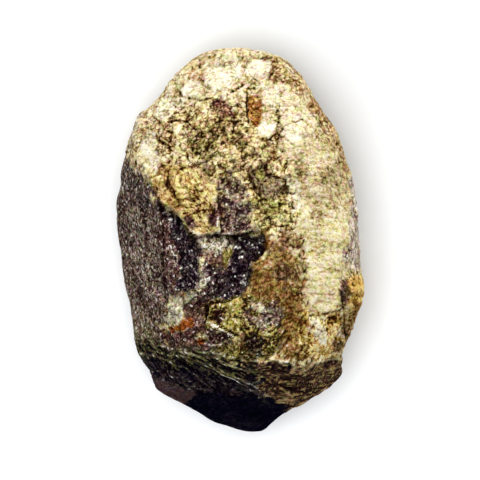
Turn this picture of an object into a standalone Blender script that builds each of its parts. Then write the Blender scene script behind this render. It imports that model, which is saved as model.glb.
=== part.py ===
# Raw anglesite: one broken lump of stone, a pale knobbly crust over a dark heart that shows
# down its left side, at its front end and through a broken window in the crust.
# It lies on a flat break. +X is to the right of the crust side, +Y is its rounded end, +Z is up.
# Everything below is in millimetres, and the mesh is scaled to metres when it is written.

import itertools
import math

import bmesh
import bpy
import numpy as np

METRES_PER_MM = 0.001

# Driving dimensions
LENGTH = 55.0
WIDTH = 35.4
HEIGHT = 24.5
GIRTH_HEIGHT = 10.0

# The round body: its crown and keel above and below the girth, and how square their curves are
CROWN = 14.5
KEEL = 13.0
CROWN_POWER = 3.0
KEEL_POWER = 2.3

# The outline seen from above, clockwise from the rounded end
OUTLINE = [
    (0.4, 27.4), (5.5, 26.2), (8.8, 23.4), (10.2, 21.0), (13.9, 15.0), (15.6, 10.6), (16.5, 5.6),
    (17.0, 0.8), (17.4, -4.3), (17.7, -6.5), (17.3, -8.9), (15.4, -13.5), (14.6, -15.3), (14.5, -17.0),
    (14.8, -18.6), (14.2, -20.1), (9.9, -22.6), (7.3, -23.9), (5.1, -25.5), (3.7, -27.0), (2.6, -27.4),
    (-1.4, -26.4), (-4.0, -25.5), (-6.6, -23.9), (-11.3, -21.5), (-12.2, -20.2), (-12.9, -18.4),
    (-14.8, -14.9), (-15.5, -10.2), (-17.0, -2.5), (-17.6, 4.0), (-17.0, 7.7), (-16.6, 11.0),
    (-15.0, 16.5), (-14.1, 18.1), (-12.8, 19.0), (-10.0, 22.2), (-8.0, 24.5), (-5.8, 26.2), (-3.0, 27.2),
]
OUTLINE_STEPS = 8

# Breaks that cut the round body back: the way each one faces in plan, its tilt from straight up,
# and its distance from the middle of the girth
BREAKS = {
    "crust_left": (100, 6, 14.2),
    "crust_right": (350, 20, 15.1),
    "rounded_end": (88, 32, 19.0),
    "rounded_end_left": (138, 42, 18.8),
    "left_side": (190, 60, 15.4),
    "front_left": (252, 46, 20.9),
    "front_right": (285, 58, 22.6),
    "front_tip": (262, 63, 24.1),
    "front_lower_left": (232, 68, 23.1),
    "right_side": (12, 62, 18.0),
    "right_front_corner": (325, 60, 20.2),
    "under_left": (185, 128, 14.3),
    "under_right": (10, 120, 15.5),
    "under_rounded_end": (95, 125, 22.8),
    "under_front": (268, 122, 24.0),
    "under_front_right": (310, 118, 21.9),
    "under_left_end": (140, 115, 20.9),
}
BREAK_ROUNDING = 1.1

# Relief on the crust side: an outline in plan, and how far it stands out (sinks in if negative).
# It starts and is full at these heights above the level that the stone lies on
WINDOW = [
    (-13.0, 6.0), (-10.4, 4.7), (-9.0, 3.8), (-7.9, 2.6), (-7.1, 1.0), (-3.4, 0.6), (-1.1, 0.7), (2.4, 1.6),
    (3.2, -0.1), (2.1, -2.8), (1.6, -3.8), (1.6, -6.3), (0.6, -7.9), (-4.2, -9.0), (-4.5, -10.4),
    (-5.6, -11.7), (-7.3, -10.8), (-9.8, -9.0), (-13.5, -7.0), (-14.5, 0.0),
]
TROUGH = [
    (-10.2, 4.4), (-8.7, 3.4), (-7.5, 1.6), (-6.1, 0.2), (-5.6, -1.5), (-6.1, -4.3), (-6.8, -6.3),
    (-8.0, -7.3), (-8.7, -6.0), (-8.2, -3.2), (-8.7, -0.8), (-9.6, 1.6),
]
PIT = [
    (-1.4, 0.5), (0.8, 1.0), (2.8, 0.2), (3.1, -1.4), (2.0, -2.6), (1.4, -3.8), (1.4, -6.3), (0.3, -7.9),
    (-4.2, -8.8), (-4.7, -10.3), (-5.9, -11.1), (-7.1, -10.3), (-5.9, -8.6), (-3.9, -7.7), (-2.3, -3.5),
]
SHALLOW = [(-3.2, 8.1), (-1.7, 8.6), (0.1, 7.5), (1.3, 5.3), (1.6, 3.3), (0.8, 1.5), (-3.0, 0.9)]
BLOCK = [
    (-4.2, -9.3), (-2.5, -8.7), (0.7, -8.3), (6.1, -9.0), (6.8, -11.7), (5.9, -14.9), (3.1, -16.3),
    (-0.3, -16.6), (-3.7, -15.6), (-5.2, -14.2), (-4.7, -11.7),
]
KNOB = [(14.9, -6.1), (16.0, -4.8), (18.5, -6.0), (18.5, -9.0), (16.2, -10.7), (15.0, -9.5)]
NOTCH = [(-15.5, 17.6), (-13.7, 19.4), (-12.2, 19.0), (-11.0, 17.1), (-11.3, 15.7), (-13.0, 15.4), (-14.8, 15.6)]
RELIEF = [
    (WINDOW, -1.1),
    (TROUGH, -0.5),
    (PIT, -0.8),
    (SHALLOW, -0.45),
    (BLOCK, 0.5),
    (KNOB, 0.7),
    (NOTCH, -1.2),
]
RELIEF_EDGE = 0.8
RELIEF_STARTS = 15.0
RELIEF_FULL = 20.5

# Knobbly lumps all over: wavelength and height. Ledges that run round the stone: how long and how high
# they are, and how far they stand out. There is less of both at the girth
LUMPS = [(9.0, 0.70), (4.5, 0.50), (2.4, 0.22)]
LEDGE_LENGTH = 9.0
LEDGE_RISE = 2.6
LEDGE_HEIGHT = 0.45
GIRTH_CALM = 4.0
GIRTH_CALM_SHARE = 0.9
SEED = 7

# The cage is a box about the body's size, cut this many times across its width, length and height
CAGE_CUTS = (28, 44, 18)
CAGE_SIZE = (34.0, 52.0, 26.0)

STONE_COLOUR = (0.44, 0.37, 0.24, 1.0)
STONE_ROUGHNESS = 0.6


def smooth_ring(points, steps=OUTLINE_STEPS):
    """A Catmull-Rom curve through a closed ring of points, as many more points."""
    b = np.asarray(points, float)
    a, c, d = np.roll(b, 1, 0), np.roll(b, -1, 0), np.roll(b, -2, 0)
    t = (np.arange(steps) / steps)[:, None, None]
    curve = b + t * (c - a) / 2 + t**2 * (2 * a - 5 * b + 4 * c - d) / 2 + t**3 * (3 * b - a - 3 * c + d) / 2
    return curve.transpose(1, 0, 2).reshape(-1, 2)


def smooth_step(value, start, end):
    """0 before start, 1 after end, and a smooth rise between them."""
    t = np.clip((value - start) / (end - start), 0, 1)
    return t * t * (3 - 2 * t)


def smooth_least(a, b, rounding):
    """The smaller of two distances, with the corner where they cross rounded."""
    near = np.clip(1 - np.abs(a - b) / rounding, 0, None)
    return np.minimum(a, b) - near**2 * rounding / 4


def lattice_noise(points, wavelength, seed):
    """Noise from about -1 to 1: each corner of a cubic lattice has a random slope, blended between corners."""
    source = np.random.default_rng(seed)
    order = np.tile(source.permutation(256), 2)
    slopes = source.normal(size=(256, 3))
    slopes /= np.linalg.norm(slopes, axis=1)[:, None]
    place = points / wavelength
    cell = np.floor(place).astype(int)
    inside = place - cell
    fade = inside**3 * (inside * (inside * 6 - 15) + 10)
    total = np.zeros(len(points))
    for corner in itertools.product((0, 1), repeat=3):
        i, j, k = ((cell + corner) & 255).T
        slope = slopes[order[order[order[i] + j] + k]]
        share = np.prod(np.where(corner, fade, 1 - fade), axis=1)
        total += share * np.sum(slope * (inside - corner), axis=1)
    return total * 1.5


def inside_distance(plan, outline):
    """Distance to an outline in plan, positive inside it and negative outside."""
    nearest = np.full(len(plan), np.inf)
    within = np.zeros(len(plan), bool)
    for a, b in zip(outline, np.roll(outline, -1, axis=0)):
        along = b - a
        share = np.clip(((plan - a) @ along) / (along @ along), 0, 1)
        nearest = np.minimum(nearest, np.hypot(*(plan - a - share[:, None] * along).T))
        crosses = (a[1] > plan[:, 1]) != (b[1] > plan[:, 1])
        rise = along[1] if along[1] else np.inf
        within ^= crosses & (plan[:, 0] < a[0] + (plan[:, 1] - a[1]) * along[0] / rise)
    return np.where(within, nearest, -nearest)


def facing(azimuth, tilt):
    """The unit vector that faces that way in plan, tilted that far from straight up."""
    a, t = math.radians(azimuth), math.radians(tilt)
    return np.array([math.cos(a) * math.sin(t), math.sin(a) * math.sin(t), math.cos(t)])


def body_reach(ways):
    """How far the stone reaches from the middle of its girth along each unit vector.

    A superellipsoid whose plan is the outline, cut back by each break."""
    ring = smooth_ring(OUTLINE)
    ring_angle = np.arctan2(ring[:, 1], ring[:, 0])
    angle = np.arctan2(ways[:, 1], ways[:, 0])
    plan = np.interp(angle, ring_angle, np.hypot(*ring.T), period=2 * math.pi)
    above = ways[:, 2] > 0
    power = np.where(above, CROWN_POWER, KEEL_POWER)
    across = (np.hypot(ways[:, 0], ways[:, 1]) / plan) ** power
    up = (np.abs(ways[:, 2]) / np.where(above, CROWN, KEEL)) ** power
    reach = (across + up) ** (-1 / power)
    for azimuth, tilt, distance in BREAKS.values():
        toward = np.maximum(ways @ facing(azimuth, tilt), 1e-6)
        reach = smooth_least(reach, distance / toward, BREAK_ROUNDING)
    return reach


def lumps(points):
    """How far the knobbly lumps and the ledges stand out from the body at each point."""
    calm = GIRTH_CALM_SHARE * np.exp(-((points[:, 2] / GIRTH_CALM) ** 2))
    total = sum(
        height * lattice_noise(points, wavelength, SEED + i) for i, (wavelength, height) in enumerate(LUMPS)
    )
    squeezed = points * (1, 1, LEDGE_LENGTH / LEDGE_RISE)
    total += LEDGE_HEIGHT * lattice_noise(squeezed, LEDGE_LENGTH, SEED + len(LUMPS))
    return total * (1 - calm)


def steps(points):
    """How far the broken crust's steps lift each point of the crust side straight up."""
    on_top = smooth_step(points[:, 2], RELIEF_STARTS, RELIEF_FULL)
    total = sum(
        height * smooth_step(inside_distance(points[:, :2], np.array(outline)), -RELIEF_EDGE, RELIEF_EDGE)
        for outline, height in RELIEF
    )
    return total * on_top


def mesh_points(mesh):
    points = np.empty(len(mesh.vertices) * 3)
    mesh.vertices.foreach_get("co", points)
    return points.reshape(-1, 3)


def set_mesh_points(mesh, points):
    mesh.vertices.foreach_set("co", points.ravel())
    mesh.update()


def cage_mesh():
    """A box with a grid on each side: the cage that is moulded into the stone."""
    cage = bmesh.new()
    bmesh.ops.create_cube(cage, size=1)
    bmesh.ops.scale(cage, vec=CAGE_SIZE, verts=cage.verts[:])
    for axis, cuts in enumerate(CAGE_CUTS):
        along = [edge for edge in cage.edges if abs(edge.verts[0].co[axis] - edge.verts[1].co[axis]) > 1]
        bmesh.ops.subdivide_edges(cage, edges=along, cuts=cuts, use_grid_fill=True)
    mesh = bpy.data.meshes.new("anglesite_stone")
    cage.to_mesh(mesh)
    cage.free()
    return mesh


def mould_stone(mesh):
    """Moves the cage's points out to the stone.

    The body with its lumps is fitted to the stone's width and length and lifted to its girth's height.
    Then come the crust's steps, and the crown is fitted to the stone's height."""
    ways = mesh_points(mesh)
    ways /= np.linalg.norm(ways, axis=1)[:, None]
    body = ways * body_reach(ways)[:, None]
    stone = body + ways * lumps(body)[:, None]
    low, high = stone.min(0), stone.max(0)
    stone[:, :2] -= ((low + high) / 2)[:2]
    stone[:, :2] *= np.array([WIDTH, LENGTH]) / (high - low)[:2]
    stone[:, 2] += GIRTH_HEIGHT
    stone[:, 2] += steps(stone)
    crown = stone[:, 2].max() - GIRTH_HEIGHT
    stone[:, 2] = GIRTH_HEIGHT + (stone[:, 2] - GIRTH_HEIGHT) * (HEIGHT - GIRTH_HEIGHT) / crown
    set_mesh_points(mesh, stone * METRES_PER_MM)


def cut_flat_base(mesh):
    """Cuts the keel off at the level that the stone lies on, and closes the cut with one flat face."""
    stone = bmesh.new()
    stone.from_mesh(mesh)
    everything = stone.verts[:] + stone.edges[:] + stone.faces[:]
    bmesh.ops.bisect_plane(
        stone, geom=everything, dist=1e-7, plane_co=(0, 0, 0), plane_no=(0, 0, 1), clear_inner=True
    )
    rim = [edge for edge in stone.edges if edge.is_boundary]
    bmesh.ops.contextual_create(stone, geom=rim)
    bmesh.ops.triangulate(stone, faces=stone.faces[:], quad_method="SHORT_EDGE")
    bmesh.ops.recalc_face_normals(stone, faces=stone.faces[:])
    stone.to_mesh(mesh)
    stone.free()


def stone_material():
    material = bpy.data.materials.new("anglesite")
    material.use_nodes = True
    shader = material.node_tree.nodes["Principled BSDF"]
    shader.inputs["Base Color"].default_value = STONE_COLOUR
    shader.inputs["Roughness"].default_value = STONE_ROUGHNESS
    shader.inputs["Metallic"].default_value = 0.0
    return material


def main():
    for old in list(bpy.data.objects):
        bpy.data.objects.remove(old)
    mesh = cage_mesh()
    mould_stone(mesh)
    cut_flat_base(mesh)
    mesh.materials.append(stone_material())
    stone = bpy.data.objects.new("anglesite_stone", mesh)
    collection = bpy.data.collections.new("raw_anglesite")
    bpy.context.scene.collection.children.link(collection)
    collection.objects.link(stone)


main()
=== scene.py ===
import itertools
import math

import bpy
import numpy as np
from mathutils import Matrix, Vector


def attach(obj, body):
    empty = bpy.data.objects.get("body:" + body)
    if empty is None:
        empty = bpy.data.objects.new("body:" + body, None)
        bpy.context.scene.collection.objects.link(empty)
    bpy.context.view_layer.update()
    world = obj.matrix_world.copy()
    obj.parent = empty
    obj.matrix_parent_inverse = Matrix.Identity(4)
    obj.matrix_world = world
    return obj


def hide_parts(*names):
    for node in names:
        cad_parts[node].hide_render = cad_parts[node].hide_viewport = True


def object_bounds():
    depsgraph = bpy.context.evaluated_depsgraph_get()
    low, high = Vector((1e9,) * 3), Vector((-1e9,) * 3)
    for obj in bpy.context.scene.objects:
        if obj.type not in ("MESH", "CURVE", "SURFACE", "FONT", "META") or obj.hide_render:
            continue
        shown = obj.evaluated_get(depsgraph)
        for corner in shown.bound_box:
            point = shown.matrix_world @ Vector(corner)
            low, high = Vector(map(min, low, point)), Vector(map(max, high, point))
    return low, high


bl_info = {
    "name": "Raw anglesite",
    "version": (1, 0, 0),
    "blender": (4, 5, 0),
    "location": "3D View > Sidebar > Anglesite",
    "description": "A raw anglesite specimen: a pale knobbly crust broken open over a dark metallic heart",
    "category": "Add Mesh",
}

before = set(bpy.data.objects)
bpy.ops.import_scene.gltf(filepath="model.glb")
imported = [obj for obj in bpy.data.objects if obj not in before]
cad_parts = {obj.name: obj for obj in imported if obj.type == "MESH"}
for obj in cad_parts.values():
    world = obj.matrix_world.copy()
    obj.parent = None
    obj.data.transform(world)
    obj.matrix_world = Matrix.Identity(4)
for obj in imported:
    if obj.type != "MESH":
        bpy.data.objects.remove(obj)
CAD_BOUNDS = [list(corner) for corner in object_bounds()]

# Lengths below are in millimetres, and become metres when the mesh and the stage are written.
MM = 0.001
LOW, HIGH = (np.array(corner) / MM for corner in CAD_BOUNDS)
NODE = "anglesite_stone"
PIECE = "weathered_stone"
SEED = 7
# Brings lattice noise to the range from about -1 to 1
NOISE_GAIN = 1.5

# The round body, as in the solid: crown above and keel below the girth, and how square they are
GIRTH_HEIGHT = 10.0
CROWN = 14.5
KEEL = 13.0
CROWN_POWER = 3.0
KEEL_POWER = 2.3
OUTLINE = [
    (0.4, 27.4), (5.5, 26.2), (8.8, 23.4), (10.2, 21.0), (13.9, 15.0), (15.6, 10.6), (16.5, 5.6),
    (17.0, 0.8), (17.4, -4.3), (17.7, -6.5), (17.3, -8.9), (15.4, -13.5), (14.6, -15.3), (14.5, -17.0),
    (14.8, -18.6), (14.2, -20.1), (9.9, -22.6), (7.3, -23.9), (5.1, -25.5), (3.7, -27.0), (2.6, -27.4),
    (-1.4, -26.4), (-4.0, -25.5), (-6.6, -23.9), (-11.3, -21.5), (-12.2, -20.2), (-12.9, -18.4),
    (-14.8, -14.9), (-15.5, -10.2), (-17.0, -2.5), (-17.6, 4.0), (-17.0, 7.7), (-16.6, 11.0),
    (-15.0, 16.5), (-14.1, 18.1), (-12.8, 19.0), (-10.0, 22.2), (-8.0, 24.5), (-5.8, 26.2), (-3.0, 27.2),
]
OUTLINE_STEPS = 8

# Breaks that cut the body back: (facing in plan, tilt from straight up, distance from the girth's middle)
BREAKS = {
    "crust_left": (100, 6, 14.2),
    "crust_right": (350, 20, 15.1),
    "rounded_end": (88, 32, 19.0),
    "rounded_end_left": (138, 42, 18.8),
    "left_side": (190, 60, 15.4),
    "front_left": (252, 46, 20.9),
    "front_right": (285, 58, 22.6),
    "front_tip": (262, 63, 24.1),
    "front_lower_left": (232, 68, 23.1),
    "right_side": (12, 62, 18.0),
    "right_front_corner": (325, 60, 20.2),
    "under_left": (185, 128, 14.3),
    "under_right": (10, 120, 15.5),
    "under_rounded_end": (95, 125, 22.8),
    "under_front": (268, 122, 24.0),
    "under_front_right": (310, 118, 21.9),
    "under_left_end": (140, 115, 20.9),
}
BREAK_ROUNDING = 1.1

# Lumps of the whole stone: (wavelength, height). Most of that is left out within this height of the girth
LUMPS = [(9.0, 0.70), (4.5, 0.50), (2.4, 0.22)]
GIRTH_CALM = 4.0
GIRTH_CALM_SHARE = 0.9

# The box that the mesh is wrapped from, as shares of the solid's box
CAGE_FIT = (0.96, 0.945, 1.06)
# How far the finished relief may stand past the solid's box in plan, as a share of it
BOX_SPARE = 0.01

# Noises that make edges ragged: (wavelength, share), and how far they shift those of the crust's steps,
# the borders between minerals, the cracks and seams, and the granules
WOBBLES = [(3.6, 1.1), (1.4, 0.6), (0.7, 0.3)]
STEP_WOBBLE = 0.4
BORDER_WOBBLE = 0.55
LINE_WOBBLE = 0.3
GRANULE_WOBBLE = 0.4

# Borders between minerals: the size of the grains that lie on one side or the other, and how far those
# move a border, the same for a slow wave, the narrowest blend, and how much wider a soft one is
BORDER_GRAIN = 0.75
BORDER_GRAIN_SHIFT = 1.5
BORDER_WAVELENGTH = 1.5
BORDER_WAVE_SHIFT = 0.5
BORDER_BLEND = 0.12
BORDER_SOFT_BLEND = 0.15

# How far the borders stray on the sides, at what wavelength, and how far under the girth they do so fully
STRAY = 9.0
STRAY_WAVELENGTH = 6.5
STRAY_DEPTH = 3.0

# Steps in the broken crust, seen from above, and how far each one lifts or sinks the surface
STEPS = [
    ([(-13.0, 6.0), (-10.4, 4.7), (-9.0, 3.8), (-7.9, 2.6), (-7.1, 1.0), (-3.4, 0.6), (-1.1, 0.7), (2.4, 1.6),
      (3.2, -0.1), (2.1, -2.8), (1.6, -3.8), (1.6, -6.3), (0.6, -7.9), (-4.2, -9.0), (-4.5, -10.4),
      (-5.6, -11.7), (-7.3, -10.8), (-9.8, -9.0), (-13.5, -7.0), (-14.5, 0.0)], -1.1),
    ([(-10.2, 4.4), (-8.7, 3.4), (-7.5, 1.6), (-6.1, 0.2), (-5.6, -1.5), (-6.1, -4.3), (-6.8, -6.3),
      (-8.0, -7.3), (-8.7, -6.0), (-8.2, -3.2), (-8.7, -0.8), (-9.6, 1.6)], -0.5),
    ([(-1.4, 0.5), (0.8, 1.0), (2.8, 0.2), (3.1, -1.4), (2.0, -2.6), (1.4, -3.8), (1.4, -6.3), (0.3, -7.9),
      (-4.2, -8.8), (-4.7, -10.3), (-5.9, -11.1), (-7.1, -10.3), (-5.9, -8.6), (-3.9, -7.7),
      (-2.3, -3.5)], -0.8),
    ([(-3.2, 8.1), (-1.7, 8.6), (0.1, 7.5), (1.3, 5.3), (1.6, 3.3), (0.8, 1.5), (-3.0, 0.9)], -0.45),
    ([(-4.2, -9.3), (-2.5, -8.7), (0.7, -8.3), (6.1, -9.0), (6.8, -11.7), (5.9, -14.9), (3.1, -16.3),
      (-0.3, -16.6), (-3.7, -15.6), (-5.2, -14.2), (-4.7, -11.7)], 0.5),
    ([(14.9, -6.1), (16.0, -4.8), (18.5, -6.0), (18.5, -9.0), (16.2, -10.7), (15.0, -9.5)], 0.7),
    ([(-15.5, 17.6), (-13.7, 19.4), (-12.2, 19.0), (-11.0, 17.1), (-11.3, 15.7), (-13.0, 15.4),
      (-14.8, 15.6)], -1.2),
]
STEP_EDGE = 0.3
STEPS_START = 15.0
STEPS_FULL = 20.5

# What the stone is made of: colours of its dark, middle and light grains, how rough it is, and how many
# dark specks it has. The front end and its black tip are darker than their minerals, as painted shade
MINERALS = {
    "crust": ("#6a4618", "#d4c08c", "#fcf2ca", 0.80, 0.35),
    "white_crust": ("#b8a57e", "#f2e9cf", "#fffdea", 0.85, 0.03),
    "top_crust": ("#9c8852", "#d8c8a0", "#f3ebd2", 0.80, 0.12),
    "speckled_crust": ("#36210c", "#a08a54", "#f3e2b0", 0.75, 0.65),
    "tan_crust": ("#8a6638", "#c2a878", "#ecddb0", 0.80, 0.20),
    "brown_crust": ("#50280c", "#a88752", "#ecdcb4", 0.75, 0.45),
    "rim_crust": ("#4a342c", "#b2a290", "#f0e6d6", 0.75, 0.45),
    "banded_crust": ("#857042", "#d1be90", "#f7ebcc", 0.75, 0.10),
    "pale_crust": ("#b0a060", "#e4d8ac", "#fbf3d6", 0.70, 0.05),
    "golden_crust": ("#46220c", "#b69a58", "#f6e6a8", 0.65, 0.25),
    "mottled_crust": ("#5a3812", "#dcc88a", "#fff6cc", 0.60, 0.30),
    "green_crust": ("#3a320e", "#928a4a", "#e0dc9c", 0.60, 0.30),
    "violet_crust": ("#240e12", "#523a30", "#c4ae90", 0.50, 0.30),
    "violet": ("#1a0a12", "#4e3838", "#b09c8e", 0.50, 0.20),
    "dark_block": ("#140604", "#3a241a", "#a8946c", 0.45, 0.40),
    "stain": ("#34161a", "#74503e", "#c8a884", 0.75, 0.20),
    "ochre": ("#4a2c0e", "#785829", "#bc9e62", 0.55, 0.30),
    "low_crust": ("#6a3e0e", "#ecc468", "#fff6c4", 0.70, 0.26),
    "knob_crust": ("#7a521c", "#deb45c", "#f6dea0", 0.70, 0.22),
    "olive": ("#1e1008", "#4a3a1c", "#c4b464", 0.50, 0.35),
    "light_olive": ("#4e4014", "#a89a4a", "#dcd07c", 0.55, 0.10),
    "heart": ("#12040c", "#28161e", "#9a8474", 0.40, 0.20),
    "heart_black": ("#06000a", "#120a10", "#56484e", 0.30, 0.15),
    "scaly": ("#28120a", "#94826c", "#fbf2e0", 0.50, 0.30),
    "dark_purple": ("#18040a", "#32181c", "#86605a", 0.50, 0.20),
    "flank": ("#1a0c14", "#553f3a", "#b0a292", 0.50, 0.30),
    # Near-black: the dark galena of the front end, darkened further as painted shade of the down-facing side
    "front": ("#02000e", "#0f0b1b", "#544c48", 0.40, 0.15),
    "front_olive": ("#06040e", "#1a1618", "#848052", 0.45, 0.20),
    "front_brown": ("#180810", "#443028", "#c0a670", 0.50, 0.30),
    "maroon": ("#201018", "#4a363a", "#746a6c", 0.50, 0.10),
    # The black tip: near-black as painted shade of a steep face turned from the light, over dark mineral
    "shaded_black_tip": ("#02020a", "#080818", "#2c2636", 0.30, 0.00),
    "white_spot": ("#807c60", "#c6bea2", "#f2eedc", 0.70, 0.00),
    "orange": ("#2c0a06", "#7c3a10", "#b46e30", 0.60, 0.25),
    "rust_brown": ("#3c1c0c", "#80501e", "#d0a25c", 0.60, 0.30),
    "underside": ("#1a120c", "#4c3c2c", "#8e7c5e", 0.65, 0.40),
}
SHADES = ("dark", "middle", "light")

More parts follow.
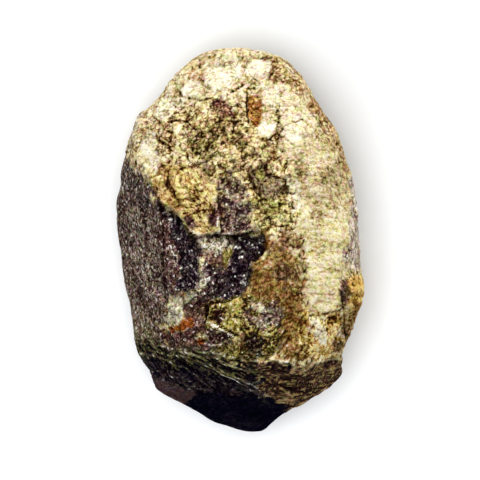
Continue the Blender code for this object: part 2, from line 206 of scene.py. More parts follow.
# Areas of the surface seen from above, painted one over another:
# (mineral, how its surface is broken, edge softness, strength, outline)
AREAS = [
    ("top_crust", "knobbly", 1.6, 1.0,
     [(-12.9, 17.4), (-10.7, 20.7), (-8.9, 24.0), (-5.7, 26.8), (0.4, 28.6), (6.3, 26.8), (9.9, 22.8),
      (11.7, 18.8), (12.2, 15.4), (8.6, 12.8), (6.0, 14.2), (3.2, 16.5), (0.0, 17.4), (-3.6, 20.0),
      (-7.2, 19.7), (-10.7, 18.0)]),
    ("speckled_crust", "knobbly", 1.4, 1.0,
     [(-7.2, 16.4), (-3.6, 17.5), (0.0, 17.1), (2.6, 15.4), (3.2, 12.8), (1.4, 10.7), (-2.1, 10.0),
      (-5.7, 11.1), (-7.7, 14.0)]),
    ("banded_crust", "banded", 1.1, 1.0,
     [(5.7, 13.4), (8.0, 15.1), (10.9, 14.5), (13.5, 15.7), (19.5, 16.5), (20.3, 3.7), (16.0, 2.9),
      (12.9, 1.9), (10.3, 3.4), (8.3, 2.5), (7.4, 5.1), (6.6, 7.1), (7.2, 9.7)]),
    ("pale_crust", "banded", 1.3, 1.0,
     [(7.6, 1.9), (8.6, 2.6), (9.5, 3.7), (11.2, 2.5), (12.9, 3.4), (14.3, 3.9), (20.3, 4.1), (21.2, -3.8),
      (16.0, -4.1), (14.7, -5.2), (14.3, -7.2), (14.5, -9.1), (12.9, -10.0), (10.3, -10.0), (8.6, -9.2),
      (8.3, -8.1), (9.3, -6.8), (7.7, -5.8), (7.9, -4.7), (9.6, -4.4), (10.3, -3.2), (9.3, -1.5),
      (8.4, -0.1)]),
    ("tan_crust", "knobbly", 0.6, 0.9,
     [(-8.0, 25.1), (-6.3, 26.0), (-4.2, 25.4), (-4.4, 23.7), (-5.7, 22.1), (-7.7, 22.8)]),
    ("brown_crust", "knobbly", 0.8, 0.9,
     [(3.2, 25.4), (5.2, 26.0), (7.2, 24.8), (8.7, 22.8), (7.6, 21.1), (5.7, 22.6), (4.0, 22.3)]),
    ("brown_crust", "knobbly", 1.0, 0.95,
     [(7.2, 23.1), (9.5, 21.1), (10.9, 18.0), (13.2, 14.2), (14.7, 10.2), (16.6, 10.0), (15.2, 17.1),
      (11.7, 22.3), (9.2, 25.1)]),
    ("rim_crust", "knobbly", 0.7, 0.9,
     [(15.5, 8.8), (16.0, 5.7), (15.2, 2.5), (15.6, -0.6), (14.7, -3.2), (16.6, -4.4), (19.8, -3.5),
      (19.8, 9.7)]),
    ("golden_crust", "folded", 0.9, 1.0,
     [(-13.2, 8.8), (-11.2, 10.7), (-8.0, 10.2), (-5.2, 10.8), (-3.6, 9.1), (-3.3, 5.7), (-3.0, 1.1),
      (-6.0, 0.9), (-7.4, 2.2), (-9.5, 3.9), (-11.5, 5.4)]),
    ("rust_brown", "knobbly", 0.7, 0.55,
     [(-11.2, 9.5), (-9.9, 10.5), (-8.9, 9.2), (-9.5, 7.2), (-8.3, 4.9), (-8.9, 3.7), (-10.2, 5.1),
      (-10.9, 7.4)]),
    ("dark_purple", "knobbly", 0.6, 0.6,
     [(-6.0, 11.0), (-4.6, 11.4), (-3.7, 10.0), (-4.0, 8.8), (-5.2, 9.1)]),
    ("mottled_crust", "knobbly", 1.0, 1.0,
     [(0.6, 10.8), (3.2, 12.0), (5.7, 11.1), (7.4, 9.1), (7.4, 5.9), (8.3, 3.7), (7.7, 1.4), (3.4, 1.4),
      (1.7, 1.9), (1.4, 4.9), (0.0, 7.9)]),
    ("dark_block", "knobbly", 0.4, 0.8,
     [(1.0, 9.5), (1.9, 10.7), (3.2, 11.2), (3.9, 10.2), (4.7, 9.1), (6.2, 8.8), (6.6, 7.4), (6.9, 6.1),
      (5.3, 6.1), (4.3, 5.5), (3.0, 5.9), (2.4, 7.1), (1.7, 8.1)]),
    ("light_olive", "plated", 0.3, 0.5,
     [(2.1, 10.0), (3.2, 10.2), (3.6, 8.9), (3.2, 7.7), (2.4, 8.4)]),
    ("green_crust", "knobbly", 0.8, 0.8,
     [(3.4, 5.7), (5.7, 5.5), (7.4, 4.8), (7.6, 2.8), (5.7, 1.8), (4.0, 2.2)]),
    ("green_crust", "knobbly", 0.8, 0.7,
     [(1.4, 5.7), (3.4, 6.2), (4.6, 4.8), (5.2, 2.8), (4.3, 1.2), (2.0, 1.4)]),
    ("violet_crust", "plated", 1.2, 1.0,
     [(-3.2, 7.7), (-2.6, 9.4), (-1.4, 10.2), (-0.6, 8.5), (0.9, 7.9), (0.4, 6.2), (1.4, 4.8), (0.9, 3.1),
      (2.1, 1.6), (-0.6, 0.8), (-2.7, 0.8), (-3.2, 3.9)]),
    ("violet", "plated", 0.9, 0.75,
     [(-2.6, 6.2), (-1.1, 6.8), (0.3, 5.7), (1.0, 3.9), (0.6, 2.2), (1.1, 1.2), (-0.6, 0.9), (-2.6, 1.1)]),
    ("dark_purple", "knobbly", 0.25, 1.0,
     [(-7.7, 3.2), (-6.6, 3.5), (-5.9, 2.6), (-6.2, 1.5), (-7.2, 1.8)]),
    ("dark_purple", "knobbly", 0.25, 1.0,
     [(-4.6, 3.4), (-3.6, 3.8), (-3.0, 2.5), (-3.2, 1.2), (-4.2, 1.5)]),
    ("white_crust", "banded", 0.6, 0.9,
     [(-5.2, 24.3), (-3.4, 25.4), (-1.6, 25.7), (0.1, 24.8), (0.4, 22.8), (-0.9, 22.3), (-1.4, 21.0),
      (-3.4, 21.1), (-4.9, 22.3)]),
    ("white_crust", "banded", 0.5, 0.8,
     [(1.0, 24.8), (2.6, 25.6), (4.3, 24.6), (3.7, 23.1), (2.3, 22.7), (1.3, 23.4)]),
    ("white_crust", "banded", 0.4, 0.9,
     [(-8.9, 21.7), (-7.7, 22.8), (-6.0, 22.6), (-4.9, 21.4), (-5.9, 20.5), (-8.0, 20.8)]),
    ("white_crust", "banded", 0.8, 0.6,
     [(3.2, 21.1), (5.2, 21.7), (6.9, 20.3), (8.6, 18.8), (9.5, 16.5), (8.3, 15.4), (6.9, 16.8),
      (5.7, 16.0), (4.6, 18.3), (3.4, 19.1)]),
    ("white_crust", "banded", 0.4, 1.0,
     [(2.3, 16.1), (3.4, 17.0), (5.0, 16.7), (5.3, 15.5), (4.0, 14.7), (2.6, 15.1)]),
    ("white_crust", "banded", 0.4, 1.0,
     [(6.0, 15.4), (7.3, 16.3), (8.7, 16.0), (9.0, 14.5), (7.7, 13.8), (6.4, 14.2)]),
    ("white_crust", "banded", 0.5, 0.85,
     [(-14.6, 14.2), (-13.5, 15.7), (-12.0, 14.8), (-12.2, 12.8), (-11.3, 11.4), (-12.0, 9.7),
      (-13.3, 10.2), (-14.0, 12.0)]),
    ("white_crust", "knobbly", 0.6, 0.7,
     [(-12.2, 19.1), (-10.6, 20.3), (-8.6, 20.0), (-8.0, 18.5), (-9.7, 18.0), (-10.7, 16.8), (-11.9, 17.7)]),
    ("white_crust", "knobbly", 0.5, 0.7,
     [(6.7, 8.5), (7.7, 9.1), (8.4, 7.4), (8.2, 5.7), (8.9, 4.2), (7.7, 3.9), (7.0, 5.9)]),
    ("stain", "knobbly", 0.3, 1.0,
     [(-3.7, 20.0), (-2.6, 20.4), (-1.7, 19.8), (-1.0, 18.7), (-0.9, 17.5), (-1.9, 17.7), (-3.0, 18.3),
      (-3.6, 19.0)]),
    ("rust_brown", "knobbly", 0.35, 1.0,
     [(1.0, 20.5), (2.3, 20.8), (3.4, 20.3), (3.7, 18.7), (3.2, 17.3), (2.7, 16.0), (1.7, 16.0),
      (1.3, 17.8)]),
    ("brown_crust", "knobbly", 0.6, 0.8,
     [(-0.6, 20.0), (0.9, 20.3), (1.0, 16.8), (0.0, 16.5), (-0.9, 18.0)]),
    ("rust_brown", "knobbly", 0.4, 0.7,
     [(9.2, 19.7), (10.3, 20.0), (11.3, 18.5), (11.0, 17.4), (9.9, 18.0)]),
    ("ochre", "knobbly", 0.9, 1.0,
     [(2.6, 0.6), (3.7, 1.4), (5.4, 0.5), (6.9, 1.4), (8.6, -0.1), (7.7, -1.8), (8.9, -3.2), (8.0, -4.9),
      (9.6, -6.1), (8.6, -7.5), (9.2, -9.2), (7.4, -11.0), (5.2, -9.5), (3.2, -9.7), (0.9, -8.7),
      (0.4, -7.2), (1.4, -5.1), (1.6, -2.6), (3.2, -1.5)]),
    ("ochre", "knobbly", 0.8, 1.0,
     [(5.7, -8.7), (8.3, -9.2), (9.5, -11.8), (8.6, -14.1), (9.6, -16.7), (5.7, -17.0), (6.0, -13.0)]),
    ("low_crust", "knobbly", 0.9, 1.0,
     [(8.7, -11.5), (9.7, -9.7), (11.7, -10.7), (14.0, -9.5), (15.3, -11.5), (14.9, -15.1), (12.9, -17.5),
      (10.3, -17.0), (8.9, -14.4)]),
    ("ochre", "knobbly", 0.5, 0.7,
     [(9.0, -11.2), (9.9, -11.1), (10.2, -13.0), (9.7, -14.5), (8.9, -14.1)]),
    ("rust_brown", "knobbly", 0.6, 0.4,
     [(11.5, -11.5), (12.5, -11.2), (13.5, -11.8), (13.2, -13.0), (11.9, -12.8)]),
    ("white_crust", "knobbly", 0.5, 0.8,
     [(9.9, -10.7), (10.7, -10.5), (11.7, -12.1), (12.7, -14.1), (12.3, -15.1), (11.2, -14.5),
      (10.3, -12.7)]),
    ("white_crust", "knobbly", 0.3, 0.8,
     [(14.0, -12.1), (14.7, -11.7), (15.2, -12.7), (14.9, -13.8), (14.2, -13.5)]),
    ("dark_purple", "knobbly", 0.5, 0.8,
     [(13.3, -14.5), (14.0, -14.0), (14.7, -14.5), (14.6, -15.8), (13.6, -16.1)]),
    ("knob_crust", "knobbly", 0.5, 1.0,
     [(14.7, -6.9), (15.8, -4.9), (20.0, -4.4), (21.2, -7.2), (20.0, -10.1), (16.0, -11.0), (14.9, -9.2)]),
    ("ochre", "knobbly", 0.6, 0.9,
     [(14.0, -10.7), (15.8, -9.8), (19.2, -9.2), (19.2, -12.2), (18.0, -15.1), (15.2, -15.3), (14.7, -13.0)]),
    ("dark_purple", "knobbly", 0.4, 0.9,
     [(14.5, -6.2), (15.0, -5.4), (15.8, -5.9), (16.0, -7.2), (15.5, -8.7), (14.6, -9.1), (14.2, -7.8)]),
    ("violet_crust", "plated", 0.9, 0.6,
     [(5.2, -3.8), (6.3, -3.5), (7.4, -4.4), (7.2, -5.9), (5.9, -6.4), (5.0, -5.4)]),
    ("stain", "knobbly", 1.0, 0.5,
     [(4.6, 0.8), (6.3, 1.2), (8.0, 0.2), (8.3, -1.2), (6.9, -1.8), (5.2, -0.9)]),
    ("olive", "plated", 0.8, 0.5,
     [(7.3, -2.4), (8.6, -2.6), (9.2, -4.1), (8.0, -5.2), (8.4, -7.2), (8.0, -8.9), (7.2, -8.4),
      (7.2, -5.2)]),
    ("rim_crust", "knobbly", 0.8, 0.6,
     [(-13.0, 18.1), (-14.0, 16.5), (-15.5, 13.7), (-16.6, 10.8), (-20.6, 10.8), (-19.2, 17.1),
      (-14.3, 20.3)]),
    ("flank", "striated", 0.8, 1.0,
     [(-25.8, 13.0), (-17.5, 12.8), (-15.5, 11.4), (-13.5, 9.1), (-12.0, 5.9), (-10.0, 3.9), (-8.4, 1.9),
      (-7.7, 0.2), (-8.3, -3.2), (-7.9, -7.2), (-9.7, -8.7), (-11.5, -11.8), (-10.3, -14.8),
      (-15.8, -14.7), (-25.8, -14.4)]),
    ("heart_black", "striated", 1.4, 0.5,
     [(-18.3, 11.7), (-15.2, 10.8), (-12.9, 7.7), (-12.3, 4.8), (-14.0, 5.1), (-16.6, 7.7)]),
    ("violet", "striated", 1.0, 0.5,
     [(-16.3, -0.6), (-14.9, -0.9), (-14.3, -3.2), (-15.5, -4.7), (-16.6, -3.2)]),
    ("green_crust", "striated", 1.2, 0.2,
     [(-15.5, -11.2), (-12.9, -11.0), (-11.7, -13.5), (-12.9, -15.0), (-15.2, -14.4)]),
    # Darker under the ledge: painted shadow over the dark mineral of the inner flank
    ("dark_purple", "striated", 1.2, 0.75,
     [(-11.7, 4.8), (-9.7, 3.7), (-8.3, 1.1), (-8.0, -3.2), (-7.7, -7.2), (-9.7, -8.1), (-11.2, -5.8),
      (-11.5, -0.1)]),
    ("tan_crust", "striated", 1.2, 0.05,
     [(-17.5, -8.1), (-11.5, -8.1), (-10.0, -10.1), (-10.6, -14.1), (-14.9, -14.7), (-16.9, -11.5)]),
    # The black strip under the ledge: painted shadow of the step, over the dark heart
    ("heart_black", "striated", 0.4, 1.0,
     [(-11.5, 4.8), (-9.2, 3.7), (-7.7, 1.9), (-6.6, 0.5), (-5.6, -0.6), (-5.7, -3.2), (-5.4, -5.8),
      (-7.2, -7.7), (-8.6, -7.2), (-9.0, -4.4), (-8.7, -1.2), (-10.0, 1.4)]),
    ("heart", "terraced", 0.5, 1.0,
     [(-7.4, 0.5), (-3.7, 0.4), (-0.3, 0.6), (3.2, 1.1), (3.7, -1.2), (1.6, -2.9), (1.4, -6.5),
      (0.0, -8.4), (-2.6, -8.9), (-5.2, -9.1), (-7.4, -8.5), (-6.0, -6.5), (-5.3, -3.2), (-6.0, -0.9)]),
    ("heart_black", "terraced", 0.5, 0.9,
     [(-1.3, 0.1), (1.1, 0.8), (3.2, 0.9), (3.6, -0.9), (1.6, -2.9), (1.6, -6.1), (0.6, -7.9),
      (-1.7, -8.8), (-3.4, -8.1), (-2.3, -6.4), (-0.9, -4.1), (-1.4, -2.1)]),
    ("heart_black", "terraced", 0.5, 0.6,
     [(-3.9, -4.1), (-2.0, -4.4), (-0.9, -3.5), (1.1, -4.1), (1.0, -7.8), (-1.1, -8.8), (-3.4, -8.4),
      (-4.6, -6.7)]),
    ("stain", "terraced", 0.6, 0.55,
     [(-5.3, -1.8), (-3.7, -1.6), (-2.6, -1.9), (-2.6, -3.2), (-3.9, -4.1), (-5.2, -3.2)]),
    ("scaly", "plated", 0.4, 1.0,
     [(-6.3, 0.2), (-4.0, 0.5), (-2.0, 0.4), (-1.1, -0.4), (-1.6, -1.2), (-2.7, -1.5), (-3.9, -1.9),
      (-5.0, -1.5), (-5.4, -0.6)]),
    ("light_olive", "plated", 0.2, 0.9,
     [(-2.4, -1.4), (-1.7, -1.1), (-1.3, -1.8), (-1.4, -3.2), (-2.0, -4.1), (-2.6, -3.1)]),
    ("scaly", "terraced", 0.35, 0.75,
     [(-5.6, -3.2), (-4.7, -3.5), (-4.9, -6.4), (-6.0, -7.5), (-7.7, -8.7), (-8.6, -8.2), (-6.6, -6.9),
      (-5.6, -5.2)]),
    ("dark_purple", "terraced", 0.5, 0.95,
     [(-8.3, -9.2), (-7.2, -8.4), (-5.7, -8.2), (-4.6, -8.8), (-4.4, -10.5), (-4.9, -12.7), (-6.0, -13.8),
      (-7.7, -13.5), (-8.0, -11.8)]),
    ("olive", "plated", 0.6, 1.0,
     [(-4.7, -9.5), (-3.4, -8.7), (-1.4, -8.7), (0.7, -8.1), (3.4, -8.4), (5.7, -9.1), (6.3, -11.8),
      (5.7, -15.8), (3.2, -17.3), (-0.6, -17.1), (-3.7, -16.1), (-5.2, -13.8)]),
    ("light_olive", "plated", 0.25, 0.9,
     [(-1.7, -8.7), (-0.6, -8.2), (0.4, -8.5), (0.3, -10.2), (-0.4, -10.7), (-1.4, -9.8)]),
    ("light_olive", "plated", 0.25, 0.9,
     [(-2.3, -11.4), (-1.4, -10.8), (-0.6, -11.5), (-0.4, -13.0), (-1.1, -13.2), (-2.0, -12.5)]),
    ("dark_purple", "plated", 0.3, 0.8,
     [(-3.4, -10.2), (-2.6, -9.8), (-1.9, -10.4), (-2.3, -11.5), (-3.3, -11.7)]),
    ("white_crust", "knobbly", 0.25, 0.85,
     [(1.6, -8.7), (2.6, -8.8), (3.4, -9.8), (2.6, -10.1), (1.7, -9.4)]),
    ("violet", "plated", 0.7, 0.9,
     [(1.0, -10.0), (2.3, -10.4), (3.7, -9.5), (4.6, -8.9), (5.6, -9.4), (6.3, -10.7), (5.9, -12.1),
      (4.9, -11.8), (4.0, -12.7), (2.6, -12.2), (1.4, -11.5)]),
    ("heart_black", "plated", 0.7, 0.8,
     [(1.0, -14.0), (2.3, -13.5), (3.6, -14.4), (3.3, -16.1), (1.4, -16.0)]),
    ("heart", "terraced", 0.4, 0.9,
     [(-5.0, -12.5), (-3.4, -12.5), (-1.7, -13.5), (-1.0, -14.7), (-2.6, -15.4), (-4.9, -15.1)]),
    ("tan_crust", "knobbly", 0.25, 0.7,
     [(-1.3, -14.1), (-0.3, -13.5), (0.7, -14.1), (0.4, -15.1), (-0.9, -15.1)]),
    ("dark_purple", "terraced", 0.8, 0.95,
     [(-11.5, -13.0), (-9.5, -13.2), (-7.2, -13.0), (-4.9, -14.4), (-4.0, -16.1), (-8.3, -16.4),
      (-10.9, -15.0)]),
    ("front", "layered", 0.7, 1.0,
     [(-18.3, -13.8), (-12.9, -14.7), (-9.2, -15.8), (-4.9, -16.1), (-0.6, -17.4), (4.0, -17.3),
      (8.6, -18.1), (12.9, -17.3), (22.9, -17.8), (14.0, -34.4), (-7.2, -36.0), (-20.6, -26.0)]),
    ("front_olive", "layered", 1.0, 0.85,
     [(-18.3, -13.8), (-12.9, -14.5), (-8.6, -15.8), (-4.3, -16.1), (0.7, -17.5), (3.7, -17.5),
      (2.6, -19.5), (-2.0, -19.0), (-6.3, -17.8), (-10.3, -17.8), (-14.3, -16.4), (-18.3, -16.1)]),
    ("front_brown", "layered", 0.9, 0.95,
     [(3.2, -17.5), (8.6, -17.8), (12.9, -17.0), (22.9, -17.5), (14.3, -29.6), (7.4, -24.7), (4.3, -23.0),
      (2.3, -20.4)]),
    ("heart_black", "layered", 0.7, 0.7,
     [(-12.6, -17.0), (-10.0, -17.5), (-8.6, -19.0), (-9.2, -20.4), (-11.7, -19.8)]),
    ("heart_black", "layered", 0.7, 0.7,
     [(-6.9, -19.5), (-4.0, -19.0), (-1.1, -20.1), (-0.6, -21.8), (-3.7, -22.1), (-6.3, -21.6)]),
    ("maroon", "smooth", 0.5, 0.95,
     [(-14.0, -18.1), (-12.0, -19.5), (-9.7, -20.4), (-7.2, -21.6), (-6.3, -22.4), (-7.4, -30.1),
      (-20.0, -27.3), (-18.6, -19.0)]),
    # The black tip, painted near-black as shade over its dark mineral
    ("shaded_black_tip", "smooth", 0.5, 1.0,
     [(-6.9, -22.4), (-4.0, -21.8), (-1.1, -22.4), (1.7, -22.1), (4.3, -22.7), (6.3, -23.6), (8.6, -33.0),
      (-8.6, -36.0), (-8.3, -24.4)]),
    ("dark_purple", "terraced", 0.5, 0.8,
     [(-10.6, -13.0), (-9.2, -13.4), (-7.2, -12.7), (-5.7, -13.0), (-6.0, -14.1), (-8.6, -14.4),
      (-10.6, -14.0)]),
    ("white_spot", "knobbly", 0.2, 1.0,
     [(-10.7, -11.2), (-10.5, -10.0), (-9.7, -8.9), (-8.6, -8.2), (-7.3, -7.8), (-6.3, -7.5), (-6.9, -8.5),
      (-7.9, -9.1), (-7.9, -10.2), (-8.4, -11.1), (-9.2, -11.5), (-10.2, -11.8)]),
    ("orange", "knobbly", 0.15, 1.0,
     [(-10.3, -12.4), (-9.2, -11.7), (-8.4, -11.2), (-7.6, -11.4), (-7.2, -11.0), (-6.4, -11.4),
      (-6.7, -12.2), (-7.7, -12.5), (-8.9, -13.0), (-10.0, -13.0)]),
    ("orange", "knobbly", 0.15, 0.9,
     [(-6.0, -14.1), (-5.2, -14.0), (-4.9, -14.8), (-5.6, -15.1)]),
]

# Lines drawn on the surface seen from above: (half width, height, tone, points). Cracks are deep and
# dark, and seams stand up and are pale. Along the ledge and the olive block's top edge the pale lip is a
# painted highlight, and the dark line under the ledge is painted shadow over a dark colour of its own
LINES = [
    (0.14, -0.14, -1.0, [(-8.9, 21.8), (-8.4, 20.7), (-6.6, 20.1), (-5.0, 19.8), (-3.9, 20.3)]),
    (0.12, -0.16, -0.8, [(-8.6, 22.0), (-7.2, 23.0), (-5.3, 22.8)]),
    (0.12, -0.16, -0.8, [(-5.7, 25.7), (-3.7, 26.3), (-1.7, 26.0)]),
    (0.12, -0.16, -0.8, [(1.4, 26.0), (4.0, 25.6), (6.4, 24.8), (7.6, 23.7)]),
    (0.12, -0.10, -0.5, [(-4.9, 25.4), (-4.0, 24.6), (-2.6, 24.8), (-1.1, 25.4)]),
    (0.12, -0.10, -0.5, [(0.6, 24.8), (0.9, 23.4), (1.7, 22.6), (3.2, 22.6), (4.6, 23.4)]),
    (0.12, -0.10, -0.7, [(-1.3, 21.0), (0.0, 21.7), (0.9, 22.3)]),
    (0.12, -0.10, -0.7, [(-11.7, 17.4), (-10.6, 18.5), (-8.9, 18.3), (-7.7, 18.8)]),
    (0.14, -0.16, -1.3, [(1.0, 21.4), (1.0, 20.5), (1.0, 18.8), (1.1, 16.5)]),
    (0.12, -0.12, -0.8,
     [(4.9, 17.4), (5.2, 18.3), (5.3, 16.8), (5.4, 15.7), (5.9, 14.8), (6.9, 14.1), (7.6, 13.1)]),
    (0.12, -0.12, -0.8, [(8.9, 17.1), (7.2, 16.7), (6.2, 16.0), (5.6, 14.7), (5.3, 13.2), (6.2, 12.4)]),
    (0.12, -0.12, -0.8, [(2.3, 14.5), (3.4, 14.2), (4.3, 14.5), (5.4, 15.4)]),
    (0.14, -0.14, -1.0, [(-12.5, 17.5), (-11.5, 16.8), (-10.6, 15.7), (-9.7, 15.1)]),
    (0.14, -0.14, -1.0, [(-9.7, 16.8), (-8.3, 17.1), (-7.2, 16.5), (-6.3, 15.4)]),
    (0.14, -0.14, -1.0, [(-11.5, 14.2), (-10.3, 13.4), (-9.7, 12.0), (-10.0, 10.8)]),
    (0.14, -0.14, -1.0, [(-8.6, 13.4), (-7.4, 12.5), (-7.2, 11.1), (-6.0, 10.2)]),
    (0.12, -0.12, -0.8, [(-10.2, 8.4), (-9.7, 7.4), (-9.2, 6.2), (-8.6, 5.8), (-7.6, 5.8), (-6.0, 5.7)]),
    (0.12, -0.12, -0.8, [(-12.0, 8.4), (-11.9, 7.1), (-12.0, 6.4)]),
    (0.16, -0.12, -0.9, [(-8.6, 9.7), (-8.0, 10.2), (-6.9, 10.4)]),
    (0.14, -0.12, -0.8, [(-5.3, 10.2), (-4.7, 9.4), (-3.4, 8.9)]),
    (0.12, -0.10, -0.6, [(-10.9, 8.8), (-10.3, 7.7), (-9.7, 6.7)]),
    (0.12, -0.10, -0.6, [(-8.3, 7.9), (-7.4, 7.2), (-6.3, 6.8), (-4.9, 6.8)]),
    (0.12, -0.10, -0.6, [(-8.9, 4.9), (-7.4, 4.7), (-6.0, 4.8), (-4.6, 5.4)]),
    (0.12, -0.10, -0.6, [(-5.7, 7.9), (-4.7, 7.4), (-4.0, 6.2)]),
    (0.11, 0.08, 0.4, [(-9.5, 7.9), (-8.6, 6.9), (-7.4, 6.5), (-6.0, 6.2)]),
    (0.11, 0.08, 0.4, [(-10.3, 4.9), (-9.0, 4.2), (-8.0, 3.5)]),
    (0.12, -0.10, -0.8, [(-5.6, 4.2), (-4.7, 3.9), (-3.7, 4.2)]),
    (0.12, -0.10, -1.0, [(-8.0, 3.7), (-7.2, 3.5)]),
    # Dark line under the curved end of the ledge: painted shadow under the lip, over its own dark colour
    (0.11, -0.10, -0.9, [(-10.6, 4.5), (-9.3, 3.9), (-8.0, 2.6), (-7.2, 1.4), (-6.4, 0.9)]),
    (0.12, -0.10, -0.6, [(-7.7, 3.1), (-6.3, 3.9), (-4.6, 4.2), (-3.7, 3.7)]),
    (0.13, -0.12, -0.9, [(3.6, 10.5), (3.7, 9.4), (4.9, 8.9), (6.3, 8.8), (6.6, 7.4)]),
    (0.13, -0.12, -0.9, [(1.1, 9.4), (2.0, 7.8), (2.4, 6.5), (3.2, 5.8)]),
    (0.12, 0.10, 0.8, [(1.9, 11.1), (2.6, 11.5), (3.6, 11.4)]),
    (0.13, -0.12, -0.9, [(5.4, 5.1), (6.7, 5.2), (7.7, 4.5)]),
    (0.13, -0.12, -0.9, [(7.2, 4.2), (7.3, 2.8)]),
    (0.13, -0.12, -0.9, [(4.0, 2.6), (5.2, 1.9), (7.2, 2.2)]),
    (0.13, 0.10, 0.8, [(-3.6, 6.2), (-3.3, 4.5), (-3.2, 2.6), (-3.0, 0.9)]),
    (0.13, -0.15, -0.7, [(-3.0, 6.2), (-2.9, 4.5), (-2.7, 2.5), (-2.6, 1.1)]),
    # The ledge's lip: raised, and pale as a painted highlight
    (0.11, 0.10, 0.7,
     [(-10.6, 4.8), (-9.2, 4.1), (-8.0, 2.8), (-7.4, 1.9), (-6.6, 1.1), (-5.0, 0.9), (-3.7, 0.8),
      (-1.6, 0.8), (-0.4, 1.1), (1.4, 1.5), (2.7, 1.6), (3.7, 1.8)]),
    # Dark line under the ledge's lip: painted shadow, over a dark colour of its own
    (0.11, -0.10, -1.0,
     [(-7.2, 1.2), (-6.2, 0.6), (-4.9, 0.5), (-3.7, 0.4), (-1.4, 0.5), (0.0, 0.6), (1.4, 1.1), (2.6, 1.2)]),
    (0.22, -0.10, -0.5, [(-11.6, 6.2), (-11.0, 3.7), (-10.9, 0.5), (-11.0, -3.2), (-10.6, -6.9)]),
    (0.12, 0.08, 0.5, [(-10.3, 4.5), (-10.0, 2.8), (-10.0, 1.4)]),
    (0.12, 0.08, 0.4, [(-11.5, -1.8), (-11.3, -3.2), (-11.5, -4.7)]),
    (0.16, -0.08, -0.4, [(-14.3, 6.2), (-13.5, 2.8), (-13.3, -0.6), (-13.7, -4.4)]),
    (0.16, -0.08, -0.4, [(-15.5, -3.2), (-14.9, -6.4), (-13.7, -9.5)]),
    (0.13, 0.10, 0.9, [(-8.9, -2.4), (-8.9, -3.5), (-8.7, -4.5)]),
    (0.11, -0.12, -0.8, [(3.2, 0.5), (3.7, -0.9), (2.0, -2.6), (1.6, -3.5), (1.6, -5.8), (1.0, -7.5)]),
    (0.16, -0.14, -1.2,
     [(-5.0, -11.7), (-4.6, -10.0), (-4.2, -9.1), (-3.3, -8.8), (-1.9, -8.8), (-0.6, -8.1)]),
    (0.12, -0.12, -0.8,
     [(-3.3, -11.2), (-3.2, -10.5), (-2.4, -10.1), (-1.7, -10.0), (-1.0, -10.2), (-0.6, -11.0)]),
    (0.11, -0.12, -1.0, [(-3.0, -12.1), (-2.0, -12.7), (-1.1, -13.4), (0.0, -13.8)]),
    (0.15, 0.12, 1.3,
     [(-4.7, -11.7), (-3.9, -12.0), (-3.0, -12.4), (-2.1, -13.0), (-1.4, -13.4), (-0.6, -14.0)]),
    (0.12, 0.12, 0.9, [(-1.3, -11.0), (-0.4, -11.8), (-0.3, -12.7), (0.0, -13.7)]),
    # The olive block's top edge: raised, and pale as a painted highlight
    (0.12, 0.12, 0.8, [(-4.3, -9.7), (-3.2, -9.2), (-2.0, -9.5)]),
    (0.14, 0.10, 1.0, [(-5.2, -14.7), (-4.0, -15.0), (-2.6, -14.8)]),
    (0.12, -0.12, -0.6, [(0.3, -10.4), (1.4, -11.2), (2.3, -12.4), (1.7, -13.5)]),
    (0.12, -0.12, -0.6, [(1.6, -10.0), (2.6, -10.4), (3.7, -10.5)]),
    (0.12, 0.10, 0.9, [(3.4, -12.1), (4.6, -11.5), (5.4, -12.7), (4.6, -13.5), (3.4, -13.0)]),
    (0.12, -0.12, -0.6, [(8.9, -10.8), (10.6, -10.5), (12.3, -10.2), (14.2, -10.0)]),
    (0.13, -0.14, -1.1, [(14.5, -7.5), (14.6, -9.2), (14.9, -11.8), (15.0, -15.1)]),
    (0.11, 0.10, 0.5,
     [(-15.2, -14.5), (-9.3, -15.3), (-4.0, -16.1), (1.4, -17.0), (8.6, -17.4), (15.2, -17.0)]),
    (0.11, 0.10, 0.5, [(-12.9, -15.8), (-7.2, -16.7), (-2.1, -18.4), (2.1, -20.8), (5.7, -23.3)]),
    (0.11, 0.10, 0.5, [(-8.6, -15.8), (-2.9, -17.0), (2.1, -18.8), (7.4, -22.1)]),
    (0.11, 0.10, 0.5, [(-14.9, -16.1), (-11.5, -16.7), (-8.0, -18.1), (-5.2, -20.1)]),
    (0.11, 0.10, 0.5, [(-5.7, -17.5), (-1.1, -19.3), (2.3, -21.6), (4.3, -23.6)]),
    (0.12, -0.12, -0.6, [(0.0, -17.3), (3.2, -18.4), (6.6, -18.7), (10.0, -19.5)]),
    (0.12, -0.12, -0.6, [(3.2, -20.1), (6.6, -21.0), (9.5, -21.8)]),
]

# Lines end within this height of the girth
LINE_END = 1.0
# Each line fades and deepens along its way: the wavelength, how much, and the least and most of it
LINE_FADE_WAVELENGTH = 1.3
LINE_FADE = 0.7
LINE_LEAST = 0.3
LINE_MOST = 1.2

# How the surface is broken: how far the tone spreads between dark (0) and light (1), how strongly the
# finest grains vary it, how strong the painted glints are on the crystal faces that would catch the light,
# and how deep the finest cracks are
KINDS = {
    "knobbly": (0.22, 2.4, 0.15, 1.15),
    "banded": (0.20, 3.3, 0.05, 0.25),
    "folded": (0.23, 3.8, 0.15, 0.35),
    "striated": (0.13, 5.2, 0.55, 0.00),
    "terraced": (0.20, 3.8, 0.80, 0.30),
    "plated": (0.23, 3.8, 0.50, 0.60),
    "layered": (0.19, 2.3, 0.25, 0.00),
    "smooth": (0.06, 0.6, 0.00, 0.00),
}
KIND_NAMES = list(KINDS)

# Slow change of tone over the whole stone
SLOW_WAVELENGTH = 3.4
SLOW_TONE = 0.13

